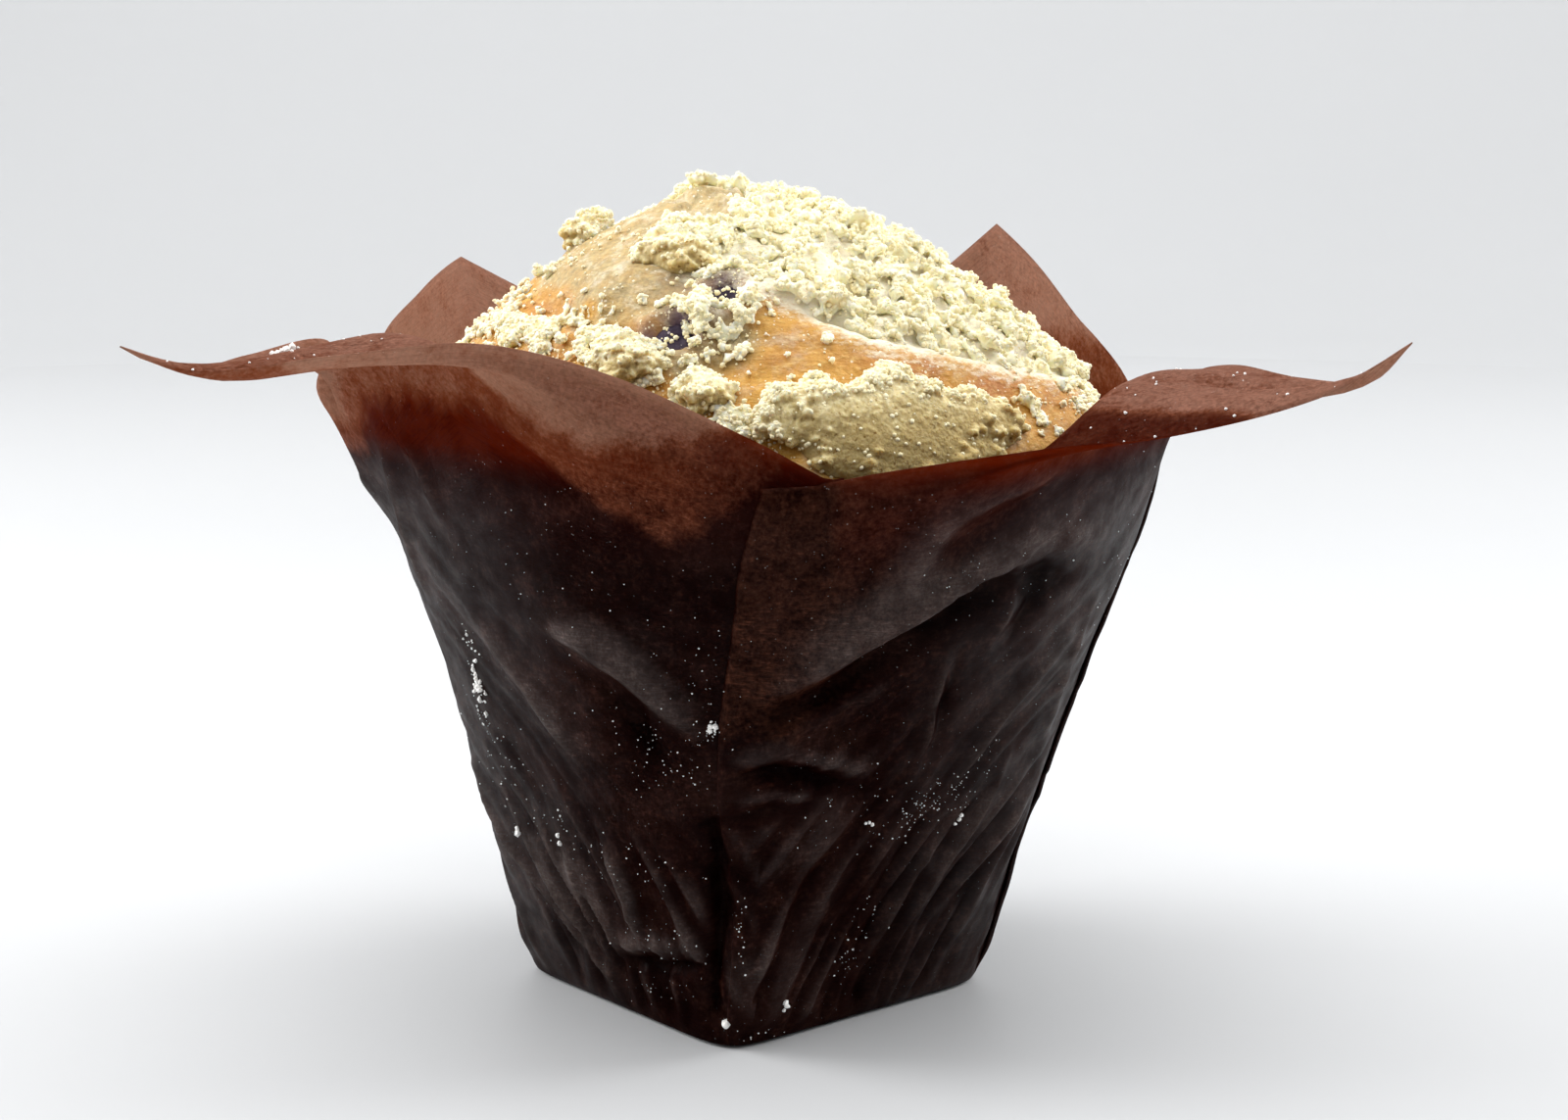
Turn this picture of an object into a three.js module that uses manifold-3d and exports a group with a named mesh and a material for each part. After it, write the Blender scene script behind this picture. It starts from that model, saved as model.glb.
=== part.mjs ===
// A blueberry streusel muffin standing in its folded paper wrap.
//
// Units are millimetres and degrees, +Z points up. The origin is the middle of the foot, on the surface
// that the muffin stands on. The front pleat of the wrap faces -Y, and +X is to its right. An azimuth is
// measured round +Z from the front (-Y) towards the right (+X).

import * as THREE from "three";
import { mergeVertices } from "three/addons/utils/BufferGeometryUtils.js";
import Module from "manifold-3d";

const wasm = await Module();
wasm.setup();

// ---- Driving dimensions ----

const PAPER_THICKNESS = 0.5;
const FIT_GAP = 0.35; // between pieces that touch

// The cup: a rounded square foot that widens into a nearly round mouth.
const FOOT_CORNER_RADIUS = 24.6;
const WALL_SLOPE = 0.235; // radius gained for each millimetre of height
const WALL_FLARE = 0.00125; // and its growth with the square of the height
const FOOT_SQUARENESS = 0.76; // radius at a side divided by radius at a corner
const MOUTH_SQUARENESS = 0.96;
const CORNER_AZIMUTH = -5; // of the foot's front corner
const FOOT_TWIST = -4.5; // azimuth of the front pleat's line at the foot
const MOUTH_TWIST = 9.2; // and at the mouth
const CUP_LEAN = 2.1; // how far the mouth stands to the right of the foot
const PETAL_AXIS = 0.8; // x of the upright line that the petals are measured from
const WALL_TOP = 50; // below it the paper is a plain cup, above it the petals open
const MOUTH_HEIGHT = 60;

// The pleats: where the sheet is folded over itself, the next panel lies on the last one.
const PLEAT_OVERLAP = 6.3; // at the mouth
const PLEAT_OVERLAP_AT_FOOT = 0.5;
const PLEAT_ROOT = 2.2; // how far the fold is joined to its own panel, past the line of the pleat
const PLEAT_FOLD_THICKNESS = 0.6; // the folded layers, pressed together
const PLEAT_START_HEIGHT = 2.5;
const PLEAT_FULL_HEIGHT = 38; // where the overlap reaches its full width
const PLEAT_OPENING = 1.5; // power of the height that the overlap grows with
const PETAL_SPREAD = 2.2; // how much wider a petal's edge is than the wall below it
const PLEAT_TOP_RISE = 0.97; // as a share of the petal's height, where the strip joins its panel
const PLEAT_TOP_DROP = 0.28; // how much lower the folded corner is

// The petals: the four corners of the square sheet, in order round the mouth from the front pleat.
// enter and leave follow the edge of the sheet up to the petal's tip and down again, bend is the line where
// the petal turns, from its first pleat to its last; each point is [azimuth, radius, height], with the slope
// of the paper there as a fourth value of bend. slope is the slope of the paper at the edge, and curl is
// what the tip adds to it.
const PLEAT_TOPS = {
  front: [9.2, 42.6, 62.2],
  right: [99.2, 42.5, 62.0],
  back: [189.2, 42.3, 61.5],
  left: [279.2, 43.0, 61.5],
};
const PETALS = {
  front_right: {
    enter: [
      PLEAT_TOPS.front,
      [15.0, 45.2, 63.4],
      [23.2, 48.4, 64.4],
      [31.2, 53.2, 65.8],
      [37.2, 62.2, 67.4],
      [43.0, 74.0, 71.5],
      [45.0, 81.3, 76.6],
    ],
    leave: [
      [45.0, 81.3, 76.6],
      [45.8, 77.0, 73.0],
      [49.0, 67.0, 72.0],
      [54.0, 57.3, 72.1],
      [63.0, 49.5, 70.4],
      [81.0, 45.0, 66.3],
      PLEAT_TOPS.right,
    ],
    bend: [
      [8.9, 42.0, 57.5, 75],
      [29.0, 48.5, 63.5, 38],
      [45.0, 50.4, 70.8, 8],
      [61.0, 48.0, 69.0, 40],
      [98.5, 42.0, 57.0, 75],
    ],
    slope: [74, 15, 0, 15, 72],
    curl: 45,
  },
  back_right: {
    enter: [
      PLEAT_TOPS.right,
      [106.0, 42.4, 66.6],
      [114.5, 42.5, 69.8],
      [121.0, 42.5, 72.4],
      [131.0, 43.2, 77.6],
      [141.0, 44.9, 82.1],
    ],
    leave: [
      [141.0, 44.9, 82.1],
      [149.0, 43.6, 76.8],
      [162.0, 43.4, 69.5],
      PLEAT_TOPS.back,
    ],
    bend: [
      [98.9, 42.4, 57.0, 78],
      [118.0, 42.4, 64.0, 86],
      [141.0, 43.6, 67.0, 82],
      [162.0, 43.1, 63.0, 84],
      [188.9, 42.4, 57.0, 78],
    ],
    slope: [80, 84, 80, 84, 80],
    curl: 0,
  },
  back_left: {
    enter: [
      PLEAT_TOPS.back,
      [205.0, 44.3, 68.5],
      [219.0, 46.6, 74.4],
      [229.0, 47.4, 78.4],
    ],
    leave: [
      [229.0, 47.4, 78.4],
      [244.5, 43.4, 75.0],
      [257.0, 42.8, 71.6],
      [268.0, 42.8, 66.5],
      PLEAT_TOPS.left,
    ],
    bend: [
      [188.9, 42.4, 57.0, 78],
      [209.0, 43.8, 64.0, 78],
      [229.0, 44.4, 66.0, 78],
      [249.0, 42.9, 64.0, 82],
      [278.5, 42.4, 57.0, 74],
    ],
    slope: [80, 78, 78, 82, 76],
    curl: 0,
  },
  front_left: {
    enter: [
      PLEAT_TOPS.left,
      [284.5, 47.3, 67.5],
      [292.0, 47.2, 73.0],
      [302.0, 58.0, 72.9],
      [311.5, 69.0, 73.2],
      [315.0, 78.7, 76.1],
    ],
    leave: [
      [315.0, 78.7, 76.1],
      [316.5, 72.3, 73.6],
      [322.0, 61.2, 74.6],
      [329.0, 49.9, 75.1],
      [342.1, 43.6, 72.0],
      [361.2, 41.5, 65.4],
      [369.2, 42.6, 62.2],
    ],
    bend: [
      [278.5, 42.2, 57.0, 72],
      [294.0, 46.8, 68.5, 42],
      [314.0, 48.4, 75.2, 8],
      [335.0, 46.0, 70.0, 70],
      [368.9, 42.0, 57.5, 76],
    ],
    slope: [70, 10, 0, 60, 76],
    curl: 35,
  },
};

// The muffin: a body that fills the cup up to its rim, and a crown that leans a little to the left.
const RIM_HEIGHT = 55.5;
const CROWN_TOP = 86.8;
const CROWN_TOP_X = -2.0;
const CROWN_ROUNDNESS = 1.5; // 2 would be an ellipse, 1 a cone
const CROWN_SIDE_SLOPE = 20; // how steeply the swellings point up at the rim; they point straight up at the top
const FOOT_EDGE_INSET = 0.6; // the body's lowest ring stands back by this
const SWELLING_START = 0.2; // level below which the paper holds the swellings back
// Broad swellings of the crown: azimuth and height share of the middle, width, and how far each stands out.
const SWELLINGS = [
  { azimuth: -31, level: 0.62, width: 0.3, out: 0.9 },
  { azimuth: 12, level: 0.5, width: 0.22, out: 1.0 },
  { azimuth: 75, level: 0.5, width: 0.35, out: 0.8 },
  { azimuth: 160, level: 0.45, width: 0.4, out: 1.2 },
  { azimuth: 238, level: 0.5, width: 0.35, out: 0.9 },
  { azimuth: -8, level: 0.42, width: 0.14, out: -1.3 },
];

// Streusel clumps: middle as azimuth and level of the crown, half width round it, half height up it, thickness.
const CLUMPS = {
  streusel_front_slab: { azimuth: 23, level: 0.28, across: 13.8, up: 6.0, thick: 3.8 },
  streusel_front_left: { azimuth: -24, level: 0.41, across: 3.9, up: 3.2, thick: 3.2 },
  streusel_front_small: { azimuth: -8, level: 0.365, across: 3.0, up: 2.5, thick: 3.0 },
  streusel_top_left: { azimuth: -96, level: 0.67, across: 3.2, up: 2.8, thick: 3.2 },
  streusel_top_front: { azimuth: -21, level: 0.645, across: 4.2, up: 3.0, thick: 2.6 },
  streusel_back: { azimuth: 196, level: 0.5, across: 6.0, up: 4.2, thick: 3.4 },
};

// Blueberries, most of each sunk in the crown.
const BERRIES = {
  blueberry_upper: { azimuth: -4, level: 0.545, radius: 3.1, proud: 0.9 },
  blueberry_lower: { azimuth: -14.5, level: 0.47, radius: 3.2, proud: 0.8 },
};

const COLOURS = {
  paper: { color: 0x2e1712, roughness: 0.5, metalness: 0 },
  cake: { color: 0xd49a4e, roughness: 0.8, metalness: 0 },
  streusel: { color: 0xe9dfae, roughness: 0.9, metalness: 0 },
  berry: { color: 0x2c2342, roughness: 0.6, metalness: 0 },
};

// ---- Helpers ----

const rad = THREE.MathUtils.degToRad;
const lerp = THREE.MathUtils.lerp;
const clamp01 = (x) => THREE.MathUtils.clamp(x, 0, 1);

// A point from an azimuth, a radius and a height, measured from an upright line at x = axis.
function fromCylinder([azimuth, radius, height], axis = 0) {
  return new THREE.Vector3(axis + radius * Math.sin(rad(azimuth)), -radius * Math.cos(rad(azimuth)), height);
}

// A direction that points outwards at an azimuth, raised by a slope.
function outward(azimuth, slope) {
  const level = Math.cos(rad(slope));
  return new THREE.Vector3(level * Math.sin(rad(azimuth)), -level * Math.cos(rad(azimuth)), Math.sin(rad(slope)));
}

function hermite(a, b, tangentA, tangentB, t) {
  const t2 = t * t;
  const t3 = t2 * t;
  return (2 * t3 - 3 * t2 + 1) * a + (t3 - 2 * t2 + t) * tangentA + (3 * t2 - 2 * t3) * b + (t3 - t2) * tangentB;
}

// A smooth curve through rows of numbers, at a share t of its way by knots.
function through(rows, knots, t) {
  const last = rows.length - 1;
  let k = 0;
  while (k < last - 1 && t > knots[k + 1]) k += 1;
  const slopeAt = (i, c) => {
    const before = Math.max(i - 1, 0);
    const after = Math.min(i + 1, last);
    return (rows[after][c] - rows[before][c]) / (knots[after] - knots[before]);
  };
  const span = knots[k + 1] - knots[k];
  const share = (t - knots[k]) / span;
  return rows[k].map((value, c) =>
    hermite(value, rows[k + 1][c], slopeAt(k, c) * span, slopeAt(k + 1, c) * span, share),
  );
}

// Knots for a row of points, spaced as the points are.
function chordKnots(rows) {
  const points = rows.map((row) => fromCylinder(row));
  const lengths = [0];
  for (let i = 1; i < points.length; i += 1) lengths.push(lengths[i - 1] + points[i].distanceTo(points[i - 1]));
  return lengths.map((length) => length / lengths[lengths.length - 1]);
}

// The closed surface of a sheet: two skins over a grid of middle points, offset by below and above along the
// sheet's normals. around closes the grid on itself, and hub fills the first row with two level floors, at the
// heights of its two skins, each of them a fan round a triangle in the middle.
function sheetGeometry({ rows, columns, point, below, above, around, hub }) {
  const middle = [];
  for (let r = 0; r < rows; r += 1) for (let c = 0; c < columns; c += 1) middle.push(point(r, c));
  const inRow = (c) => (around ? (c + columns) % columns : THREE.MathUtils.clamp(c, 0, columns - 1));
  const at = (r, c) => middle[r * columns + inRow(c)];
  const normalAt = (r, c) => {
    const up = at(Math.min(r + 1, rows - 1), c).clone().sub(at(Math.max(r - 1, 0), c));
    const round = at(r, c + 1).clone().sub(at(r, c - 1));
    return round.cross(up).normalize();
  };
  const positions = [];
  for (const side of [above, below]) {
    for (let r = 0; r < rows; r += 1)
      for (let c = 0; c < columns; c += 1) {
        const offset = typeof side === "function" ? side(r, c) : side;
        const spot = at(r, c).clone().addScaledVector(normalAt(r, c), offset);
        if (hub && r === 0) spot.z = side === above ? hub.outer : hub.inner;
        positions.push(...spot.toArray());
      }
  }
  const skin = rows * columns;
  const steps = around ? columns : columns - 1;
  const index = [];
  const quad = (a, b, c, d) => index.push(a, b, c, a, c, d);
  for (let r = 0; r < rows - 1; r += 1)
    for (let c = 0; c < steps; c += 1) {
      const next = (c + 1) % columns;
      quad(r * columns + c, r * columns + next, (r + 1) * columns + next, (r + 1) * columns + c);
      quad(
        skin + r * columns + c,
        skin + (r + 1) * columns + c,
        skin + (r + 1) * columns + next,
        skin + r * columns + next,
      );
    }
  const top = (rows - 1) * columns;
  for (let c = 0; c < steps; c += 1) {
    const next = (c + 1) % columns;
    quad(top + c, top + next, skin + top + next, skin + top + c);
    if (!hub) quad(next, c, skin + c, skin + next);
  }
  if (!around)
    for (let r = 0; r < rows - 1; r += 1) {
      const low = r * columns;
      const high = low + columns;
      quad(low, high, skin + high, skin + low);
      quad(high + columns - 1, low + columns - 1, skin + low + columns - 1, skin + high + columns - 1);
    }
  if (hub) {
    const outer = positions.length / 3;
    const inner = outer + 3;
    for (const height of [hub.outer, hub.inner])
      for (let k = 0; k < 3; k += 1) positions.push(...fromCylinder([120 * k, hub.radius, height]).toArray());
    for (let c = 0; c < columns; c += 1) {
      const next = (c + 1) % columns;
      const k = Math.floor((3 * c) / columns);
      const kNext = Math.floor((3 * next) / columns);
      index.push(outer + k, next, c, inner + k, skin + c, skin + next);
      if (k !== kNext) index.push(outer + k, outer + kNext, next, inner + k, skin + next, inner + kNext);
    }
    index.push(outer, outer + 2, outer + 1, inner, inner + 1, inner + 2);
  }
  return new THREE.BufferGeometry()
    .setAttribute("position", new THREE.Float32BufferAttribute(positions, 3))
    .setIndex(index);
}

// A closed surface of rings from a bottom point to a top point.
function ringsGeometry(bottom, rings, top) {
  const columns = rings[0].length;
  const positions = rings.flat().flatMap((p) => p.toArray());
  const low = positions.length / 3;
  positions.push(...bottom.toArray(), ...top.toArray());
  const index = [];
  const lastRing = (rings.length - 1) * columns;
  for (let c = 0; c < columns; c += 1) {
    const next = (c + 1) % columns;
    index.push(low, next, c, low + 1, lastRing + c, lastRing + next);
    for (let r = 0; r < rings.length - 1; r += 1) {
      const a = r * columns;
      const b = a + columns;
      index.push(a + c, a + next, b + next, a + c, b + next, b + c);
    }
  }
  return new THREE.BufferGeometry()
    .setAttribute("position", new THREE.Float32BufferAttribute(positions, 3))
    .setIndex(index);
}

function toSolid(geometry) {
  const bare = geometry.clone();
  bare.deleteAttribute("normal");
  bare.deleteAttribute("uv");
  const merged = mergeVertices(bare, 1e-4);
  return new wasm.Manifold(
    new wasm.Mesh({
      numProp: 3,
      vertProperties: merged.attributes.position.array,
      triVerts: new Uint32Array(merged.index.array),
    }),
  );
}

function toGeometry(solid) {
  const mesh = solid.getMesh();
  return new THREE.BufferGeometry()
    .setAttribute("position", new THREE.BufferAttribute(mesh.vertProperties, 3))
    .setIndex(new THREE.BufferAttribute(mesh.triVerts, 1));
}

function namedMesh(name, geometry, material) {
  const mesh = new THREE.Mesh(geometry, new THREE.MeshStandardMaterial(material));
  mesh.name = name;
  return mesh;
}

// ---- The cup's wall ----

// x of the middle of the cup at a height.
function cupAxis(height) {
  return CUP_LEAN * clamp01(height / RIM_HEIGHT);
}

function twist(height) {
  return lerp(FOOT_TWIST, MOUTH_TWIST, clamp01(height / MOUTH_HEIGHT));
}

// Radius of the middle of the paper: a superellipse whose corners follow the pleats.
function wallRadius(azimuth, height) {
  const corner = FOOT_CORNER_RADIUS + WALL_SLOPE * height + WALL_FLARE * height * height;
  const squareness = lerp(FOOT_SQUARENESS, MOUTH_SQUARENESS, clamp01(height / WALL_TOP));
  const power = 1 / (0.5 + Math.log2(squareness));
  const turn = rad(azimuth - CORNER_AZIMUTH + 45);
  const unit = (Math.abs(Math.cos(turn)) ** power + Math.abs(Math.sin(turn)) ** power) ** (-1 / power);
  return corner * squareness * unit;
}

// ---- The paper wrap ----

const BEND_STATIONS = [-1, -0.5, 0, 0.5, 1];
const BEND_PULL = 0.45; // tightness of the bend: 1 is the softest
const TIP_CURL_WIDTH = 0.13; // share of the half petal that curls with the tip

const petals = Object.values(PETALS).map((petal, number) => ({
  ...petal,
  number,
  enterKnots: chordKnots(petal.enter),
  leaveKnots: chordKnots(petal.leave),
}));

// The petal's own point: side runs from -1 at its first pleat over 0 at its tip to 1 at its last pleat, and
// rise from 0 at the top of the plain wall to 1 at the edge of the sheet.
function petalPoint(petal, side, rise) {
  const azimuth = 90 * petal.number + twist(WALL_TOP) + 45 * (side + 1);
  const start = fromCylinder([azimuth, wallRadius(azimuth, WALL_TOP), WALL_TOP], cupAxis(WALL_TOP));
  const wallSlope = THREE.MathUtils.radToDeg(Math.atan2(1, WALL_SLOPE + 2 * WALL_FLARE * WALL_TOP));
  const bend = through(petal.bend, BEND_STATIONS, side);
  const edge =
    side < 0 ? through(petal.enter, petal.enterKnots, side + 1) : through(petal.leave, petal.leaveKnots, side);
  const [edgeSlope] = through(petal.slope.map((value) => [value]), BEND_STATIONS, side);
  const curl = petal.curl * Math.exp(-((side / TIP_CURL_WIDTH) ** 2));
  const turn = fromCylinder(bend, PETAL_AXIS);
  const end = fromCylinder(edge, PETAL_AXIS);
  const turnWay = outward(bend[0], bend[3]);
  const lower = start.distanceTo(turn);
  const upper = turn.distanceTo(end);
  const share = lower / (lower + upper);
  const [a, b, pullA, pullB, t] =
    rise < share
      ? [
          start,
          turn,
          outward(azimuth, wallSlope).multiplyScalar(lower),
          turnWay.multiplyScalar(lower * BEND_PULL),
          rise / share,
        ]
      : [
          turn,
          end,
          turnWay.multiplyScalar(upper * BEND_PULL),
          outward(edge[0], edgeSlope + curl).multiplyScalar(upper),
          (rise - share) / (1 - share),
        ];
  const mix = (axis) => hermite(a[axis], b[axis], pullA[axis], pullB[axis], t);
  return new THREE.Vector3(mix("x"), mix("y"), mix("z"));
}

// Any point of the cup and its petals. turn counts the petals round the cup from the front pleat, and rise is
// -1 at the foot, 0 at the top of the wall and 1 at the edge of the sheet.
function paperPoint(turn, rise) {
  const wrapped = ((turn % 4) + 4) % 4;
  const number = Math.min(Math.floor(wrapped), 3);
  if (rise >= 0) return petalPoint(petals[number], 2 * (wrapped - number) - 1, rise);
  const height = WALL_TOP * (1 + rise) + (PAPER_THICKNESS / 2) * -rise;
  const azimuth = 90 * wrapped + twist(height);
  return fromCylinder([azimuth, wallRadius(azimuth, height), height], cupAxis(height));
}

const WALL_RISES = [-1, -0.965, -0.88, -0.74, -0.58, -0.42, -0.27, -0.13];
const PETAL_ROWS = 9;
// Columns stand closer at the tip, where the edge turns.
const COLUMN_SIDES = [-1, -0.84, -0.67, -0.5, -0.34, -0.2, -0.08, 0, 0.08, 0.2, 0.34, 0.5, 0.67, 0.84];

function cupGeometry() {
  const rises = [...WALL_RISES];
  for (let r = 0; r <= PETAL_ROWS; r += 1) rises.push(r / PETAL_ROWS);
  const turns = petals.flatMap((petal) => COLUMN_SIDES.map((side) => petal.number + (side + 1) / 2));
  return sheetGeometry({
    rows: rises.length,
    columns: turns.length,
    point: (r, c) => paperPoint(turns[c], rises[r]),
    above: PAPER_THICKNESS / 2,
    below: -PAPER_THICKNESS / 2,
    around: true,
    hub: { outer: 0, inner: PAPER_THICKNESS, radius: FOOT_CORNER_RADIUS / 3 },
  });
}

const PLEAT_ROWS = 12;
const PLEAT_COLUMNS = 5;
const PLEAT_THIN_ROWS = 3; // rows over which the strip gains its thickness above the foot
const PLEAT_SINK = 0.4; // share of the paper's thickness that the strip sinks into the wall

// The folded strip at the start of a panel, which lies pressed on the end of the panel before it.
function pleatGeometry(number) {
  const start = PLEAT_START_HEIGHT / WALL_TOP - 1;
  const place = (r, c) => {
    const share = 1 - c / (PLEAT_COLUMNS - 1); // 1 at the fold, 0 where the strip joins its own panel
    const rise = lerp(start, PLEAT_TOP_RISE - PLEAT_TOP_DROP * share, r / (PLEAT_ROWS - 1));
    const height = WALL_TOP * clamp01(1 + rise);
    const opened = clamp01(height / PLEAT_FULL_HEIGHT) ** PLEAT_OPENING;
    const overlap = lerp(PLEAT_OVERLAP_AT_FOOT, PLEAT_OVERLAP, opened);
    const along = lerp(Math.min(PLEAT_ROOT, 2 * overlap), -overlap, share);
    const spread = lerp(1, PETAL_SPREAD, clamp01(rise));
    const degrees = THREE.MathUtils.radToDeg(along / wallRadius(90 * number, height) / spread);
    return paperPoint(number + degrees / 90, rise);
  };
  return sheetGeometry({
    rows: PLEAT_ROWS,
    columns: PLEAT_COLUMNS,
    point: place,
    above: (r, c) => {
      const grown = clamp01(r / PLEAT_THIN_ROWS) * PLEAT_FOLD_THICKNESS;
      return c === PLEAT_COLUMNS - 1 ? PAPER_THICKNESS / 4 : PLEAT_SINK * PAPER_THICKNESS + grown;
    },
    below: -PLEAT_SINK * PAPER_THICKNESS,
    around: false,
  });
}

function paperWrap() {
  let wrap = toSolid(cupGeometry());
  for (let number = 0; number < petals.length; number += 1) wrap = wrap.add(toSolid(pleatGeometry(number)));
  return wrap;
}

// ---- The muffin ----

// A point of the crown's skin: level is 0 at the rim and 1 at the top.
function crownPoint(azimuth, level, out = 0) {
  const quarter = (level * Math.PI) / 2;
  const spread = Math.cos(quarter) ** (2 / CROWN_ROUNDNESS);
  const height = Math.sin(quarter) ** (2 / CROWN_ROUNDNESS);
  const rim = wallRadius(azimuth, RIM_HEIGHT) - PAPER_THICKNESS / 2 - 2 * FIT_GAP;
  let swell = out;
  const held = clamp01(level / SWELLING_START);
  for (const bump of SWELLINGS) {
    const round = THREE.MathUtils.euclideanModulo(azimuth - bump.azimuth + 180, 360) - 180;
    const away = Math.hypot(rad(round) * spread, level - bump.level) / bump.width;
    swell += held * bump.out * Math.exp(-away * away);
  }
  const slope = lerp(CROWN_SIDE_SLOPE, 90, level);
  const axis = lerp(cupAxis(RIM_HEIGHT), CROWN_TOP_X, height);
  const point = fromCylinder([azimuth, rim * spread, lerp(RIM_HEIGHT, CROWN_TOP, height)], axis);
  return point.addScaledVector(outward(azimuth, slope), swell);
}

const BODY_COLUMNS = 44;
const BODY_HEIGHTS = [0, 1.5, 12, 24, 36, 48];
const CROWN_RINGS = 13;

function muffinBody() {
  const inset = PAPER_THICKNESS / 2 + FIT_GAP;
  const floor = PAPER_THICKNESS + FIT_GAP;
  const azimuths = Array.from({ length: BODY_COLUMNS }, (_, c) => (360 * c) / BODY_COLUMNS);
  const rings = BODY_HEIGHTS.map((height, r) =>
    azimuths.map((turn) => {
      const azimuth = turn + twist(height);
      const radius = wallRadius(azimuth, height) - inset - (r === 0 ? FOOT_EDGE_INSET : 0);
      return fromCylinder([azimuth, radius, floor + height], cupAxis(floor + height));
    }),
  );
  for (let r = 0; r < CROWN_RINGS; r += 1)
    rings.push(azimuths.map((turn) => crownPoint(turn + twist(RIM_HEIGHT), r / CROWN_RINGS)));
  const bottom = new THREE.Vector3(0, 0, floor);
  let body = toSolid(ringsGeometry(bottom, rings, crownPoint(0, 1)));
  for (const berry of Object.values(BERRIES)) body = body.subtract(toSolid(berryGeometry(berry, FIT_GAP)));
  return body;
}

// ---- Toppings ----

const BERRY_FLATNESS = 0.88;
const BERRY_DIMPLE = 0.2; // depth of the dimple in the outer end, as a share of the radius
const BERRY_STEPS = 8;
const BERRY_SIDES = 12;

// A blueberry: a slightly flat ball with a dimple in its outer end. grow makes the hollow that it sits in.
function berryGeometry({ azimuth, level, radius, proud }, grow = 0) {
  const profile = [];
  for (let i = 0; i <= BERRY_STEPS; i += 1) {
    const angle = -Math.PI / 2 + (Math.PI * i) / BERRY_STEPS;
    const across = i % BERRY_STEPS ? (radius + grow) * Math.cos(angle) : 0;
    profile.push(new THREE.Vector2(across, BERRY_FLATNESS * (radius + grow) * Math.sin(angle)));
  }
  if (!grow) profile[BERRY_STEPS].y -= BERRY_DIMPLE * radius;
  const skin = crownPoint(azimuth, level);
  const way = skinNormal(azimuth, level);
  const turn = new THREE.Quaternion().setFromUnitVectors(new THREE.Vector3(0, 1, 0), way);
  const middle = skin.addScaledVector(way, proud - BERRY_FLATNESS * radius);
  return new THREE.LatheGeometry(profile, BERRY_SIDES)
    .applyQuaternion(turn)
    .translate(middle.x, middle.y, middle.z);
}

function skinNormal(azimuth, level) {
  const round = crownPoint(azimuth + 1, level).sub(crownPoint(azimuth - 1, level));
  const up = crownPoint(azimuth, level + 0.01).sub(crownPoint(azimuth, level - 0.01));
  return round.cross(up).normalize();
}

const CLUMP_COLUMNS = 16;
const CLUMP_RINGS = [0.4, 0.78, 1];

// A streusel clump: a lumpy cushion that follows the crown and keeps a small gap to it. seed shifts its lumps.
function clumpGeometry({ azimuth, level, across, up, thick }, seed) {
  const skin = crownPoint(azimuth, level);
  const radius = Math.hypot(skin.x, skin.y);
  const levelStep = 0.01;
  const levelLength = crownPoint(azimuth, level + levelStep).distanceTo(skin) / levelStep;
  const place = (turn, share, height) => {
    const ragged = 1 + 0.12 * Math.sin(3 * turn + seed) + 0.07 * Math.sin(5 * turn + 2.3 * seed);
    const side = Math.cos(turn) * share * ragged * across;
    const rise = Math.sin(turn) * share * ragged * up;
    const lumps = 1 + 0.13 * Math.sin(1.1 * side + seed) * Math.cos(1.3 * rise - seed);
    const spot = [azimuth + THREE.MathUtils.radToDeg(side / radius), level + rise / levelLength];
    return crownPoint(...spot).addScaledVector(skinNormal(...spot), FIT_GAP + height * lumps);
  };
  const ring = (share, height) =>
    Array.from({ length: CLUMP_COLUMNS }, (_, c) => place((2 * Math.PI * c) / CLUMP_COLUMNS, share, height));
  const under = CLUMP_RINGS.map((share) => ring(share, 0));
  const domed = (share) => thick * Math.sqrt(1 - 0.85 * share ** 2);
  const over = [...CLUMP_RINGS].reverse().map((share) => ring(0.98 * share, domed(share)));
  return ringsGeometry(place(0, 0, 0), [...under, ...over], place(0, 0, thick));
}

// ---- The whole muffin ----

const muffin = new THREE.Group();
muffin.add(namedMesh("paper_wrap", toGeometry(paperWrap()), COLOURS.paper));
muffin.add(namedMesh("muffin_body", toGeometry(muffinBody()), COLOURS.cake));
Object.entries(CLUMPS).forEach(([name, clump], number) => {
  muffin.add(namedMesh(name, clumpGeometry(clump, number), COLOURS.streusel));
});
for (const [name, berry] of Object.entries(BERRIES))
  muffin.add(namedMesh(name, berryGeometry(berry), COLOURS.berry));

export default muffin;
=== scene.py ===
"""A blueberry streusel muffin in its tulip wrap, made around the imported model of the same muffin.

The wrap is one square sheet of greaseproof paper, pressed into a cup and folded over itself at four pleats.
The crown carries streusel: lumps, crumbs and fine grains. Inside this script lengths are millimetres, and
they become metres when a mesh is finished. An azimuth is measured in degrees round +Z, from the front pleat
(-Y) towards the right (+X). A level is 0 at the rim of the crown and 1 at its top.
"""

import math
from types import SimpleNamespace

import bmesh
import bpy
import numpy as np
from bpy.props import FloatProperty, FloatVectorProperty, IntProperty, PointerProperty
from mathutils import Matrix, Vector, noise


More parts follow.
